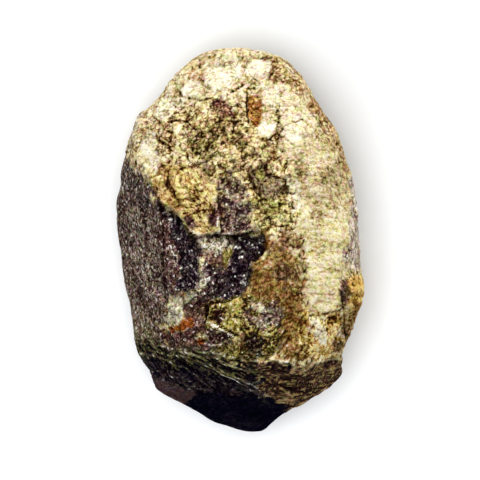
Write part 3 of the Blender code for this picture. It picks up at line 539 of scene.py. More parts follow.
# Dark specks: the wavelengths of the two noises that place them and the finer one's share, the noise
# where a speck starts and how much more makes it whole, how much lower it starts in a speckled mineral,
# the least speckled one that has any, and how dark and deep they are
SPECK_WAVELENGTH = 1.1
FINE_SPECK_WAVELENGTH = 0.5
FINE_SPECK_SHARE = 0.7
SPECK_START = 0.9
SPECK_EDGE = 0.2
SPECK_GROWTH = 0.75
SPECK_LEAST = 0.02
SPECK_TONE = 0.6
SPECK_DEPTH = 0.10

# The underside's darker colour, laid in towards the bottom: its highest level, the level where it is fullest,
# its wavelength and strength
UNDERSIDE_TOP = 3.0
UNDERSIDE_FULL = 0.5
UNDERSIDE_WAVELENGTH = 3.0
UNDERSIDE_SHARE = 0.75
# Below this level the stone is the flat break that it lies on, which keeps only this share of its pits
FLAT_LEVEL = 0.02
FLAT_PITS = 0.12

# Tones where the colour turns from one to the next
CREVICE_SHADE_TONE = -0.5
DARK_TONE = 0.0
MIDDLE_TONE = 0.5
LIGHT_TONE = 1.0
PAINTED_GLINT_START_TONE = 1.15
PAINTED_GLINT_TONE = 1.65
# The darkest tones turn to painted shade deep in the cracks, over their own dark colour and the darkest
# specks, and the brightest tones to painted white glints on crystal faces
CREVICE_SHADE_COLOUR = "#180a06"
PAINTED_GLINT_COLOUR = "#fffdf2"
# Traces of galena and of iron tint the grains: violet or yellow, and red or green. The noise between
# these two values turns one tint to the other
TINTS = (("#b8a2e0", "#bed092"), ("#dc9e9e", "#9ccaaa"))
TINT_SHARES = (0.45, 0.40)
TINT_TURN = (0.375, 0.625)

# The finest cracks: half width, how often they bend along a plate, the values of that bend between which
# they start to show, and how much they darken the crust between plates and between granules
CRACK_HALF_WIDTH = 0.1
CRACK_BENDS = 1.6
CRACK_START = (0.38, 0.58)
PLATE_CRACK = 0.75
GRANULE_CRACK = 0.55
# What the darkest granule adds to the tone, and how much more the lightest one does
GRANULE_TONE = -0.11
GRANULE_SPREAD = 0.4

# Grains to a step of the surface's flow, which makes them 0.2 to 0.6 mm wide, with finer ones in them
GRAIN_COUNT = 1.35
# Crystal faces: how far apart their tones are, between which shades one gets a painted glint, how much
# rougher the palest is, and how strongly their relief shows
FACE_SPREAD = 0.36
PAINTED_SPARK_START = (0.893, 0.964)
FACE_ROUGHNESS = 0.25
RELIEF_STRENGTH = 0.8

# The stage. Each light: (side that it comes from and height over the floor in degrees, width, brightness).
# The stone and the floor have lights of their own, which sets where the shadow lies without changing the
# stone's own light and shade
FLOOR_HALF = 3000.0
PAPER_COLOUR = "#f9fbfd"
SOFTBOX_DISTANCE = 450.0
STONE_LIGHTS = {"key": (78, 50, 200, 0.95)}
FLOOR_LIGHTS = {"floor_light": (215, 68, 420, 0.68), "floor_fill": (0, 89, 300, 0.54)}
ROOM_BRIGHTNESS = 0.36
CAMERA_DISTANCE = 900.0
CAMERA_SIGHT = 10000.0
FRAME_WIDTH = 68.75
SENSOR = 36.0


def linear_colour(hex_colour):
    """An sRGB hex colour as linear red, green and blue."""
    parts = np.array([int(hex_colour[i:i + 2], 16) for i in (1, 3, 5)]) / 255
    return np.where(parts <= 0.04045, parts / 12.92, ((parts + 0.055) / 1.055) ** 2.4)


def smooth_ring(points, steps=OUTLINE_STEPS):
    """A Catmull-Rom curve through a closed ring of points, as many more points."""
    b = np.asarray(points, float)
    a, c, d = np.roll(b, 1, 0), np.roll(b, -1, 0), np.roll(b, -2, 0)
    t = (np.arange(steps) / steps)[:, None, None]
    curve = b + t * (c - a) / 2 + t**2 * (2 * a - 5 * b + 4 * c - d) / 2 + t**3 * (3 * b - a - 3 * c + d) / 2
    return curve.transpose(1, 0, 2).reshape(-1, 2)


def smooth_step(value, start, end):
    """0 before start, 1 after end, and a smooth rise between them."""
    t = np.clip((value - start) / (end - start), 0, 1)
    return t * t * (3 - 2 * t)


def smooth_least(a, b, rounding):
    """The smaller of two distances, with the corner where they cross rounded."""
    near = np.clip(1 - np.abs(a - b) / rounding, 0, None)
    return np.minimum(a, b) - near**2 * rounding / 4


def lattice_noise(points, wavelength, seed):
    """Noise from about -1 to 1: each corner of a cubic lattice has a random slope, and between corners
    the eight slopes' heights are blended."""
    source = np.random.default_rng(seed)
    order = np.tile(source.permutation(256), 2)
    slopes = source.normal(size=(256, 3))
    slopes /= np.linalg.norm(slopes, axis=1)[:, None]
    place = points / wavelength
    cell = np.floor(place).astype(int)
    inside = place - cell
    fade = inside**3 * (inside * (inside * 6 - 15) + 10)
    total = np.zeros(len(points))
    for corner in itertools.product((0, 1), repeat=3):
        i, j, k = ((cell + corner) & 255).T
        slope = slopes[order[order[order[i] + j] + k]]
        share = np.prod(np.where(corner, fade, 1 - fade), axis=1)
        total += share * np.sum(slope * (inside - corner), axis=1)
    return total * NOISE_GAIN


def grains(points, size, seed):
    """Cellular noise, for grains of about that size, in units of it.

    Gives how far each point is from the nearest grain's centre, how far it is from the border to the
    next grain, the way from the centre to it, and the grain's own three random numbers."""
    source = np.random.default_rng(seed)
    order = np.tile(source.permutation(256), 2)
    jitter = source.random((256, 3))
    own = source.random((256, 3))
    place = points / size
    cell = np.floor(place).astype(int)
    nearest = np.full(len(points), np.inf)
    second = nearest.copy()
    way = np.zeros_like(place)
    name = np.zeros(len(points), int)
    for step in itertools.product((-1, 0, 1), repeat=3):
        i, j, k = ((cell + step) & 255).T
        key = order[order[order[i] + j] + k]
        offset = place - (cell + step + jitter[key])
        gap = np.linalg.norm(offset, axis=1)
        closer = gap < nearest
        second = np.where(closer, nearest, np.minimum(second, gap))
        nearest = np.where(closer, gap, nearest)
        way = np.where(closer[:, None], offset, way)
        name = np.where(closer, key, name)
    return nearest, second - nearest, way, own[name]


def stretched(points, wavelengths, seed):
    """Noise whose wavelength differs along each of the points' three coordinates."""
    return lattice_noise(points / np.array(wavelengths), 1.0, seed)


def nearest_on_line(plan, line):
    """Distance in plan to the nearest point of an open line."""
    nearest = np.full(len(plan), np.inf)
    for a, b in zip(line, line[1:]):
        along = b - a
        share = np.clip(((plan - a) @ along) / (along @ along), 0, 1)
        nearest = np.minimum(nearest, np.hypot(*(plan - a - share[:, None] * along).T))
    return nearest


def inside_distance(plan, outline):
    """Distance in plan to an outline, positive inside it and negative outside."""
    outline = np.array(outline, float)
    nearest = nearest_on_line(plan, np.vstack([outline, outline[:1]]))
    within = np.zeros(len(plan), bool)
    for a, b in zip(outline, np.roll(outline, -1, axis=0)):
        along = b - a
        crosses = (a[1] > plan[:, 1]) != (b[1] > plan[:, 1])
        rise = along[1] if along[1] else np.inf
        within ^= crosses & (plan[:, 0] < a[0] + (plan[:, 1] - a[1]) * along[0] / rise)
    return np.where(within, nearest, -nearest)


def facing(azimuth, tilt):
    """The unit vector that faces that way in plan, tilted that far from straight up."""
    a, t = math.radians(azimuth), math.radians(tilt)
    return np.array([math.cos(a) * math.sin(t), math.sin(a) * math.sin(t), math.cos(t)])


def outline_radius(plan):
    """How far the outline is from the middle, in the direction of each point in plan."""
    ring = smooth_ring(OUTLINE)
    ring_angle = np.arctan2(ring[:, 1], ring[:, 0])
    angle = np.arctan2(plan[:, 1], plan[:, 0])
    return np.interp(angle, ring_angle, np.hypot(*ring.T), period=2 * math.pi)


def body_reach(ways):
    """How far the stone reaches from the middle of its girth along each unit vector.

    A superellipsoid whose plan is the outline, cut back by each break."""
    above = ways[:, 2] > 0
    power = np.where(above, CROWN_POWER, KEEL_POWER)
    across = (np.hypot(ways[:, 0], ways[:, 1]) / outline_radius(ways[:, :2])) ** power
    up = (np.abs(ways[:, 2]) / np.where(above, CROWN, KEEL)) ** power
    reach = (across + up) ** (-1 / power)
    for azimuth, tilt, distance in BREAKS.values():
        toward = np.maximum(ways @ facing(azimuth, tilt), 1e-6)
        reach = smooth_least(reach, distance / toward, BREAK_ROUNDING)
    return reach


def lumps(points):
    """How far the stone's lumps stand out from the body at each point, with less of them at the girth."""
    calm = GIRTH_CALM_SHARE * np.exp(-((points[:, 2] / GIRTH_CALM) ** 2))
    total = sum(
        height * lattice_noise(points, wavelength, SEED + i) for i, (wavelength, height) in enumerate(LUMPS)
    )
    return total * (1 - calm)


def cage(cell, side_rows, base_rings):
    """A box about the stone's size, as points and quads that close round it.

    Two parameters run over its top as columns and rows. The top's rim then steps down the box's sides
    row by row, and shrinks under it ring by ring to one last small ring, which a single face closes."""
    size = (HIGH - LOW) * CAGE_FIT
    columns, rows = (int(n) for n in size[:2] / cell)
    x = np.linspace(-0.5, 0.5, columns + 1) * size[0]
    y = np.linspace(-0.5, 0.5, rows + 1) * size[1]
    top = np.stack([*np.meshgrid(x, y, indexing="ij"), np.full((columns + 1, rows + 1), size[2] / 2)], -1)
    place = np.arange((columns + 1) * (rows + 1)).reshape(columns + 1, rows + 1)
    rim = np.concatenate([place[:-1, 0], place[-1, :-1], place[:0:-1, -1], place[0, :0:-1]])
    top = top.reshape(-1, 3)
    down = np.linspace(1, -1, side_rows + 1)[1:, None, None]
    sides = top[rim] * np.concatenate([np.ones((side_rows, 1, 2)), down], -1)
    inward = np.linspace(1, 0, base_rings + 2)[1:-1, None, None]
    base = sides[-1] * np.concatenate([inward, inward, np.ones((base_rings, 1, 1))], -1)
    points = np.concatenate([top, sides.reshape(-1, 3), base.reshape(-1, 3)])
    later = len(top) + np.arange((side_rows + base_rings) * len(rim)).reshape(-1, len(rim))
    upper = np.vstack([rim, later[:-1]])
    quads = [
        np.stack([place[:-1, :-1], place[1:, :-1], place[1:, 1:], place[:-1, 1:]], -1).reshape(-1, 4),
        np.stack([later, np.roll(later, -1, 1), np.roll(upper, -1, 1), upper], -1).reshape(-1, 4),
    ]
    return points, np.concatenate(quads), later[-1][::-1]


def outward(points, quads):
    """Each point's unit normal: the sum of those of the quads round it."""
    corner = points[quads]
    face = np.cross(corner[:, 2] - corner[:, 0], corner[:, 3] - corner[:, 1])
    total = np.stack([
        np.bincount(quads.ravel(), np.repeat(face[:, axis], 4), len(points)) for axis in range(3)
    ], -1)
    return total / np.maximum(np.linalg.norm(total, axis=1), 1e-12)[:, None]


def wobble(points, size):
    """Shifts in plan that make edges ragged: a sum of noises along each of the two axes, times the size."""
    shift = [
        sum(
            share * lattice_noise(points, wavelength, SEED + 20 + 5 * i + axis)
            for i, (wavelength, share) in enumerate(WOBBLES)
        )
        for axis in range(2)
    ]
    return np.stack(shift, -1) * size


def moulded(points):
    """The stone without its fine relief: the body with its lumps, fitted to the solid's box, its crust's
    steps, and its keel pressed flat at the level that it lies on."""
    ways = points / np.linalg.norm(points, axis=1)[:, None]
    body = ways * body_reach(ways)[:, None]
    stone = body + ways * lumps(body)[:, None]
    least, most = stone.min(0), stone.max(0)
    stone[:, :2] = LOW[:2] + (stone - least)[:, :2] * (HIGH - LOW)[:2] / (most - least)[:2]
    stone[:, 2] += GIRTH_HEIGHT
    on_top = smooth_step(stone[:, 2], STEPS_START, STEPS_FULL)
    ragged = stone[:, :2] + wobble(stone, STEP_WOBBLE)
    for outline, height in STEPS:
        stone[:, 2] += on_top * height * smooth_step(inside_distance(ragged, outline), -STEP_EDGE, STEP_EDGE)
    above = stone[:, 2] - GIRTH_HEIGHT
    stone[:, 2] = GIRTH_HEIGHT + above * (HIGH[2] - GIRTH_HEIGHT) / above.max()
    return np.maximum(stone, (-np.inf, -np.inf, LOW[2]))


def sight_plan(points):
    """Each point's place in plan, pushed out to the outline under the girth, so that what an area's
    edge shows from above goes on down and under. There it also strays, so that borders wind down."""
    plan = points[:, :2]
    under = smooth_step(GIRTH_HEIGHT - points[:, 2], 0, STRAY_DEPTH)
    out = outline_radius(plan) / np.maximum(np.hypot(*plan.T), 1e-6)
    stray = np.stack([lattice_noise(points, STRAY_WAVELENGTH, SEED + 35 + axis) for axis in range(2)], -1)
    return plan * (1 + under * (out - 1))[:, None] + STRAY * under[:, None] * stray


# Each kind of break gives three things for every point. Its relief is a height in millimetres. Its tone
# has no unit and is scaled later. Its flow is the place in a pattern that the finest grains follow. All
# three are sums of noises and of grains, whose wavelengths and sizes below are in millimetres.


def bent_grains(points, size, seed):
    """Grains of about that size, whose borders are bent by the same shift along each axis."""
    return grains(points + GRANULE_WOBBLE * wobble(points, 1).sum(1)[:, None], size, seed)


def knobbly(points):
    """The crust: domed granules of two sizes on uneven ground, dark in between.

    Each granule falls away from its middle and has its own tone. Slow and fine noise are added to both,
    and a groove at the borders where that noise is low is taken off both."""
    near, border, _, own = bent_grains(points, 1.05, SEED + 40)
    small, _, _, small_own = grains(points, 0.5, SEED + 41)
    ground = lattice_noise(points, 2.1, SEED + 42)
    fine = lattice_noise(points, 0.65, SEED + 43)
    height = 0.26 * (0.6 - near) + 0.10 * (0.6 - small) + 0.20 * ground + 0.06 * fine
    groove = smooth_step(border, 0.16, 0.0) * smooth_step(ground + fine, 0.6, -0.5)
    tone = 0.28 * own[:, 0] + 0.22 * small_own[:, 0] + 0.32 * ground + 0.30 * fine - 0.65 * groove
    return height - 0.14 * groove, tone, points / 0.6


def banded(points):
    """The smoother crust: faint level bands across uneven ground.

    Bands are noise stretched across the stone, with its levels bent by slow noise. Both are a weighted
    sum of wide and thin bands and of fine, middling and slow noise."""
    level = points[:, 1] + 0.12 * points[:, 0] + 0.5 * lattice_noise(points, 4.0, SEED + 50)
    along = np.stack([level, points[:, 0], points[:, 2]], -1)
    band = stretched(along, (0.6, 3.0, 3.0), SEED + 51)
    thin = stretched(along, (0.4, 1.1, 1.1), SEED + 54)
    fine = lattice_noise(points, 0.6, SEED + 52)
    ground = lattice_noise(points, 2.4, SEED + 53)
    slow = lattice_noise(points, 5.5, SEED + 55)
    height = 0.06 * band + 0.05 * fine + 0.16 * ground
    tone = 0.25 * band + 0.30 * thin + 0.25 * fine + 0.30 * ground + 0.25 * slow
    return height, tone, along / (0.38, 0.7, 0.7)


def folded(points):
    """The golden crust: soft folds that run down to the right, with dark edges.

    A fold is stretched noise along levels turned by 52 degrees and bent. Its edge is where that noise
    passes zero, and is sunk and dark. Thin folds and fine noise are added."""
    level = 0.61 * points[:, 0] + 0.79 * points[:, 1] + 1.0 * lattice_noise(points, 3.5, SEED + 56)
    along = np.stack([level, 0.79 * points[:, 0] - 0.61 * points[:, 1], points[:, 2]], -1)
    fold = stretched(along, (1.3, 4.0, 3.0), SEED + 57)
    thin = stretched(along, (0.5, 1.6, 1.6), SEED + 58)
    edge = smooth_step(1 - 2 * np.abs(fold), 0.70, 1.0)
    fine = lattice_noise(points, 0.6, SEED + 59)
    height = 0.16 * fold - 0.10 * edge + 0.05 * fine
    return height, 0.20 * fold + 0.30 * thin + 0.20 * fine - 0.60 * edge, along / (0.45, 1.0, 0.8)


def striated(points):
    """The left side: short ribs that run along it, slanting a little.

    Ribs are noise that is short across the side's slope and long along it. Thin ribs, blotches and slow
    and fine noise are added to the relief, to the tone or to both."""
    bend = lattice_noise(points, 2.6, SEED + 60)
    across = 0.5 * points[:, 0] + 0.866 * points[:, 2] + 0.07 * points[:, 1] + 0.35 * bend
    frame_of_side = np.stack([across, points[:, 1], points[:, 0]], -1)
    rib = stretched(frame_of_side, (0.9, 3.2, 2.0), SEED + 61)
    thin = stretched(frame_of_side, (0.5, 1.2, 0.9), SEED + 62)
    ground = lattice_noise(points, 3.0, SEED + 63)
    fine = lattice_noise(points, 0.55, SEED + 64)
    blotch = lattice_noise(points, 1.3, SEED + 65)
    height = 0.13 * rib + 0.09 * thin + 0.18 * ground + 0.06 * fine
    tone = 0.25 * rib + 0.35 * thin + 0.25 * ground + 0.30 * blotch + 0.40 * fine
    return height, tone, frame_of_side / (0.42, 0.62, 0.48)


def layered(points):
    """The front end: thin layers whose edges slant down to the right and then level out.

    Levels are lowered along x by a curve that is straight on the left and flat on the right, and bent.
    Layers are noise stretched along them, and where a third such noise passes zero, an edge is pale."""
    fan = 2.0 * np.logaddexp(0, -(points[:, 0] - 3.0) / 3.2)
    level = points[:, 1] - fan + 0.35 * points[:, 2] + 0.35 * lattice_noise(points, 2.6, SEED + 70)
    frame_of_layers = np.stack([level, points[:, 0], points[:, 2]], -1)
    layer = stretched(frame_of_layers, (1.0, 6.0, 4.0), SEED + 71)
    thin = stretched(frame_of_layers, (0.5, 2.2, 1.6), SEED + 72)
    edge = 1 - np.abs(stretched(frame_of_layers, (0.7, 4.0, 3.0), SEED + 73)) * 2
    ground = lattice_noise(points, 2.2, SEED + 74)
    fine = lattice_noise(points, 0.55, SEED + 75)
    height = 0.22 * layer + 0.10 * thin + 0.16 * ground + 0.04 * fine
    tone = 0.20 * layer + 0.30 * thin + 0.60 * smooth_step(edge, 0.72, 1.0) + 0.20 * fine + 0.15 * ground
    return height, tone, frame_of_layers / (0.30, 1.5, 1.2)


def terraced(points):
    """The metallic heart: flat little steps at random levels, some of them bright as painted glints.

    Grains of two sizes each have a level and a tone of their own, and the small ones a tilt. Slow noise
    is added to the relief and fine noise to the tone."""
    _, _, _, own = grains(points, 1.25, SEED + 80)
    _, _, way, small_own = grains(points, 0.6, SEED + 81)
    ground = lattice_noise(points, 2.0, SEED + 82)
    fine = lattice_noise(points, 0.55, SEED + 83)
    tilt = np.sum(way * (small_own - 0.5), axis=1)
    level = 0.30 * (own[:, 1] - 0.5) + 0.16 * (small_own[:, 1] - 0.5)
    # Painted glints: a few small steps are made bright, as if their faces caught the light
    bright = smooth_step(small_own[:, 2], 0.88, 0.95)
    tone = 0.12 * own[:, 0] + 0.25 * small_own[:, 0] + 0.50 * bright + 0.30 * fine
    return level + 0.12 * tilt + 0.16 * ground, tone, points / 0.42


def plated(points):
    """The olive block: tilted plates of two sizes, with grooves between them.

    Each plate leans its own way, so its height is how far a point is from its middle, that way. Each has
    its own tone, and the grooves are sunk and dark. Fine noise is added."""
    _, border, way, own = bent_grains(points, 2.0, SEED + 90)
    _, small_border, small_way, small_own = grains(points, 0.8, SEED + 91)
    tilt = np.sum(way * (own - 0.5), axis=1)
    small_tilt = np.sum(small_way * (small_own - 0.5), axis=1)
    fine = lattice_noise(points, 0.6, SEED + 92)
    groove = smooth_step(border, 0.10, 0.0) + 0.6 * smooth_step(small_border, 0.12, 0.0)
    height = 0.75 * tilt + 0.25 * small_tilt + 0.06 * fine - 0.10 * groove
    tone = 0.30 * own[:, 1] + 0.35 * small_own[:, 1] + 0.45 * fine - 0.30 * groove
    return height, tone, points / 0.45


def smooth(points):
    """The glassy tip: only slow, shallow waves and a trace of finer ones."""
    wave = lattice_noise(points, 3.5, SEED + 100)
    fine = lattice_noise(points, 0.9, SEED + 101)
    return 0.16 * wave + 0.03 * fine, 0.4 * wave + 0.4 * fine, points / 0.8


# In the order of KINDS
KIND_MAKERS = (knobbly, banded, folded, striated, terraced, plated, layered, smooth)


def mineral_colours(shades):
    """The minerals' values as rows: three linear colours, then roughness and specks."""
    rows = []
    for name, (_, _, _, roughness, specks) in MINERALS.items():
        colours = [tuple(getattr(shades, f"{name}_{shade}")) for shade in SHADES]
        rows.append(np.concatenate([*colours, (roughness, specks)]))
    return dict(zip(MINERALS, rows))


def painted(points, minerals):
    """What each point is made of, and the share of each kind of break there.

    Areas are laid one over another. Their borders follow whole grains, which lie on one side or the
    other at random, so that the minerals grow into each other."""
    plan = sight_plan(points) + wobble(points, BORDER_WOBBLE)
    _, _, _, own = grains(points, BORDER_GRAIN, SEED + 140)
    wave = lattice_noise(points, BORDER_WAVELENGTH, SEED + 143)
    ragged = BORDER_WAVE_SHIFT * wave[:, None] + BORDER_GRAIN_SHIFT * (own - 0.5)
    stuff = np.repeat(minerals["crust"][None], len(points), 0)
    kinds = np.zeros((len(points), len(KINDS)))
    kinds[:, 0] = 1
    for i, (mineral, kind, softness, strength, outline) in enumerate(AREAS):
        inside = inside_distance(plan, outline) + softness * ragged[:, i % 3]
        blend = BORDER_BLEND + BORDER_SOFT_BLEND * softness
        cover = strength * smooth_step(inside, -blend, blend)
        stuff += cover[:, None] * (minerals[mineral] - stuff)
        kinds += cover[:, None] * (np.eye(len(KINDS))[KIND_NAMES.index(kind)] - kinds)
    uneven = points[:, 2] + lattice_noise(points, UNDERSIDE_WAVELENGTH, SEED + 110)
    underside_cover = UNDERSIDE_SHARE * smooth_step(uneven, UNDERSIDE_TOP, UNDERSIDE_FULL)
    stuff += underside_cover[:, None] * (minerals["underside"] - stuff)
    return stuff, kinds


def dark_specks(points, speckled):
    """How far each point is in a dark speck: the sum of a coarse and a fine noise, over a level that is
    lower where the mineral is more speckled."""
    speck = lattice_noise(points, SPECK_WAVELENGTH, SEED + 120)
    speck += FINE_SPECK_SHARE * lattice_noise(points, FINE_SPECK_WAVELENGTH, SEED + 121)
    start = SPECK_START - SPECK_GROWTH * speckled
    return smooth_step(speck, start, start + SPECK_EDGE)


def cracks_and_seams(points):
    """What the lines add to the height and the tone: each falls off from its middle as a bell curve,
    fades in places as noise does, and ends at the girth."""
    plan = points[:, :2] + wobble(points, LINE_WOBBLE)
    on_top = smooth_step(points[:, 2], GIRTH_HEIGHT - LINE_END, GIRTH_HEIGHT + LINE_END)
    fade = LINE_FADE * lattice_noise(points, LINE_FADE_WAVELENGTH, SEED + 130)
    strength = on_top * np.clip(1 + fade, LINE_LEAST, LINE_MOST)
    height, tone = np.zeros((2, len(points)))
    for half_width, line_height, line_tone, line in LINES:
        drawn = strength * np.exp(-((nearest_on_line(plan, np.array(line)) / half_width) ** 2))
        height += line_height * drawn
        tone += line_tone * drawn
    return height, tone


def stone_surface(points, quads, minerals):
    """The finished surface: moulded body, then relief and tone by kind of break, then lines.

    Gives points in metres, the minerals' values at each point, and what else the material reads there:
    tone, how much the finest grains vary it, how bright its painted glints are, how cracked the crust is,
    how rough it is, and the place in the pattern of the grains."""
    stone = moulded(points)
    stuff, kinds = painted(stone, minerals)
    roughness, speckled = stuff[:, -2:].T
    height = np.zeros(len(stone))
    tone = MIDDLE_TONE + SLOW_TONE * lattice_noise(stone, SLOW_WAVELENGTH, SEED + 150)
    _, graininess, glitter, cracked = (kinds @ np.array(list(KINDS.values()))).T
    flow = np.zeros_like(stone)
    main_kind = kinds.argmax(1)
    for i, make in enumerate(KIND_MAKERS):
        made_height, made_tone, made_flow = make(stone)
        height += kinds[:, i] * made_height
        spread = KINDS[KIND_NAMES[i]][0] / made_tone.std()
        tone += kinds[:, i] * (made_tone - made_tone.mean()) * spread
        flow[main_kind == i] = made_flow[main_kind == i]
    specks = dark_specks(stone, speckled)
    tone -= SPECK_TONE * specks * (speckled > SPECK_LEAST)
    height -= SPECK_DEPTH * specks
    line_height, line_tone = cracks_and_seams(stone)
    height += line_height
    tone += line_tone
    flat = stone[:, 2] < FLAT_LEVEL
    height = np.where(flat, FLAT_PITS * np.minimum(height, 0), height)
    stone = stone + outward(stone, quads) * height[:, None]
    spare = BOX_SPARE * (HIGH - LOW) * (1, 1, 0)
    stone = np.clip(stone, LOW - spare, HIGH)
    values = {
        "tone": tone, "graininess": graininess, "glitter": glitter,
        "cracked": cracked, "roughness": roughness,
    }
    return stone * MM, stuff, values, flow


def add(tree, kind, settings=None, inputs=None):
    """Adds a node: settings are its own properties, and inputs are values, or sockets to link from."""
    node = tree.nodes.new(kind)
    for name, value in (settings or {}).items():
        setattr(node, name, value)
    for name, value in (inputs or {}).items():
        if isinstance(value, bpy.types.NodeSocket):
            tree.links.new(value, node.inputs[name])
        else:
            node.inputs[name].default_value = value
    return node


def arithmetic(tree, operation, first, second, third=0.0, clamp=False):
    """The result of a Math node."""
    settings = {"operation": operation, "use_clamp": clamp}
    return add(tree, "ShaderNodeMath", settings, {0: first, 1: second, 2: third}).outputs[0]


def ramp(tree, value, start, end):
    """0 at start, 1 at end, and an even rise or fall between them."""
    span = end - start
    return arithmetic(tree, "MULTIPLY_ADD", value, 1 / span, -start / span, clamp=True)


def paint(hex_colour):
    """A colour for a socket."""
    return (*linear_colour(hex_colour), 1.0)


def mixed(tree, factor, first, second, blend="MIX"):
    """The colour that mixes two."""
    settings = {"data_type": "RGBA", "blend_type": blend}
    return add(tree, "ShaderNodeMix", settings, {"Factor": factor, 6: first, 7: second}).outputs[2]


def crack_net(tree, place, size):
    """How far each point is in a crack, round plates of about that size, and each plate's random number.

    The cracks are edges of bent cells, and are missing in places."""
    bend = add(tree, "ShaderNodeTexNoise", inputs={"Vector": place, "Scale": CRACK_BENDS / size})
    cells = {
        "Vector": add(tree, "ShaderNodeVectorMath", {"operation": "MULTIPLY_ADD"}, {
            0: bend.outputs["Color"], 1: (size,) * 3, 2: place,
        }).outputs["Vector"],
        "Scale": 1 / size,
    }
    border = add(tree, "ShaderNodeTexVoronoi", {"feature": "DISTANCE_TO_EDGE"}, cells).outputs["Distance"]
    plate = add(tree, "ShaderNodeTexVoronoi", inputs=cells).outputs["Color"]
    own = add(tree, "ShaderNodeSeparateColor", inputs={"Color": plate}).outputs["Red"]
    line = ramp(tree, border, CRACK_HALF_WIDTH * MM / size, 0.0)
    there = ramp(tree, bend.outputs["Fac"], *CRACK_START)
    return arithmetic(tree, "MULTIPLY", line, there), own


def anglesite_material(finish):
    """Anglesite crust on galena, as broken: chalky where the crust is weathered, and dark with cleavage
    faces painted bright as glints where the heart shows. The mesh carries each point's colours and tone, and
    grains, crystal faces and cracks finer than the mesh are added here. Each crystal's glint is a painted
    highlight in its colour, so the surface itself has no gloss."""
    material = bpy.data.materials.new("weathered_anglesite_on_galena")
    material.use_nodes = True
    tree = material.node_tree
    tree.nodes.clear()
    place = add(tree, "ShaderNodeTexCoord").outputs["Object"]
    names = (*SHADES, "tone", "graininess", "glitter", "roughness", "cracked", "flow")
    read = {name: add(tree, "ShaderNodeAttribute", {"attribute_name": name}).outputs for name in names}

    # Grains from coarse to fine sand that follow the flow, and crystal faces, some of which get painted
    # glints
    grain = add(tree, "ShaderNodeTexNoise", inputs={
        "Vector": read["flow"]["Vector"], "Scale": GRAIN_COUNT, "Detail": 3.0, "Roughness": 0.85,
    }).outputs["Fac"]
    face = add(tree, "ShaderNodeTexVoronoi", inputs={"Vector": place, "Scale": 1 / finish.face_size})
    face_shade = add(tree, "ShaderNodeSeparateColor", inputs={"Color": face.outputs["Color"]}).outputs["Red"]

    # Traces of other minerals, which change from grain to grain
    trace = add(tree, "ShaderNodeTexNoise", inputs={
        "Vector": place, "Scale": 1 / finish.trace_size, "Detail": 2.0, "Roughness": 0.8,
    }).outputs["Color"]
    trace = add(tree, "ShaderNodeSeparateColor", inputs={"Color": trace}).outputs

    # The tone: the mesh's own, shifted by the grain, the face, the granule, the cracks and the painted glint
    uneven = arithmetic(tree, "SUBTRACT", grain, 0.5)
    shift = arithmetic(tree, "MULTIPLY", uneven, read["graininess"]["Fac"])
    face_tone = arithmetic(tree, "MULTIPLY_ADD", face_shade, FACE_SPREAD, -FACE_SPREAD / 2)
    shift = arithmetic(tree, "ADD", shift, face_tone)
    crack = 0.0
    for size, depth in ((finish.plate_size, PLATE_CRACK), (finish.granule_size, GRANULE_CRACK)):
        net, own = crack_net(tree, place, size)
        crack = arithmetic(tree, "MULTIPLY_ADD", net, depth, crack)
    crack = arithmetic(tree, "MULTIPLY", crack, read["cracked"]["Fac"])
    granule = arithmetic(tree, "MULTIPLY_ADD", own, GRANULE_SPREAD, GRANULE_TONE)
    granule = arithmetic(tree, "MULTIPLY", granule, read["cracked"]["Fac"])
    shift = arithmetic(tree, "SUBTRACT", arithmetic(tree, "ADD", shift, granule), crack)
    # Painted glints: the faces with the palest shades are brightened, as if they caught the light
    painted_spark = ramp(tree, face_shade, *PAINTED_SPARK_START)
    shift = arithmetic(tree, "MULTIPLY_ADD", painted_spark, read["glitter"]["Fac"], shift)
    tone = arithmetic(tree, "ADD", shift, read["tone"]["Fac"])

    # The colour: from dark through middle to light, then the tints, and over them painted shade in the
    # deepest cracks and painted white glints
    to_middle = ramp(tree, tone, DARK_TONE, MIDDLE_TONE)
    to_light = ramp(tree, tone, MIDDLE_TONE, LIGHT_TONE)
    colour = mixed(tree, to_middle, read["dark"]["Color"], read["middle"]["Color"])
    colour = mixed(tree, to_light, colour, read["light"]["Color"])
    for share, pair, channel in zip(TINT_SHARES, TINTS, trace):
        tint = mixed(tree, ramp(tree, channel, *TINT_TURN), *map(paint, pair))
        colour = mixed(tree, share, colour, tint, "OVERLAY")
    colour = mixed(tree, ramp(tree, tone, DARK_TONE, CREVICE_SHADE_TONE), colour, paint(CREVICE_SHADE_COLOUR))
    colour = mixed(tree, ramp(tree, tone, PAINTED_GLINT_START_TONE, PAINTED_GLINT_TONE), colour, paint(PAINTED_GLINT_COLOUR))

    rough = arithmetic(tree, "MULTIPLY_ADD", face_shade, FACE_ROUGHNESS, read["roughness"]["Fac"])
    relief = arithmetic(tree, "SUBTRACT", arithmetic(tree, "ADD", grain, face_shade), crack)
    bump = add(tree, "ShaderNodeBump", inputs={
        "Strength": RELIEF_STRENGTH, "Distance": finish.bump_height, "Height": relief,
    })
    shader = add(tree, "ShaderNodeBsdfPrincipled", inputs={
        "Base Color": colour, "Roughness": rough, "Normal": bump.outputs["Normal"],
        "Specular IOR Level": 0.0,
    })
    add(tree, "ShaderNodeOutputMaterial", inputs={"Surface": shader.outputs["BSDF"]})
    return material


def paper_material():
    """Matt white paper sweep: a diffuse sheet with no pattern of its own."""
    material = bpy.data.materials.new("matt_white_paper")
    material.use_nodes = True
    shader = material.node_tree.nodes["Principled BSDF"]
    shader.inputs["Base Color"].default_value = paint(PAPER_COLOUR)
    shader.inputs["Roughness"].default_value = 0.9
    shader.inputs["Specular IOR Level"].default_value = 0.1
    return material


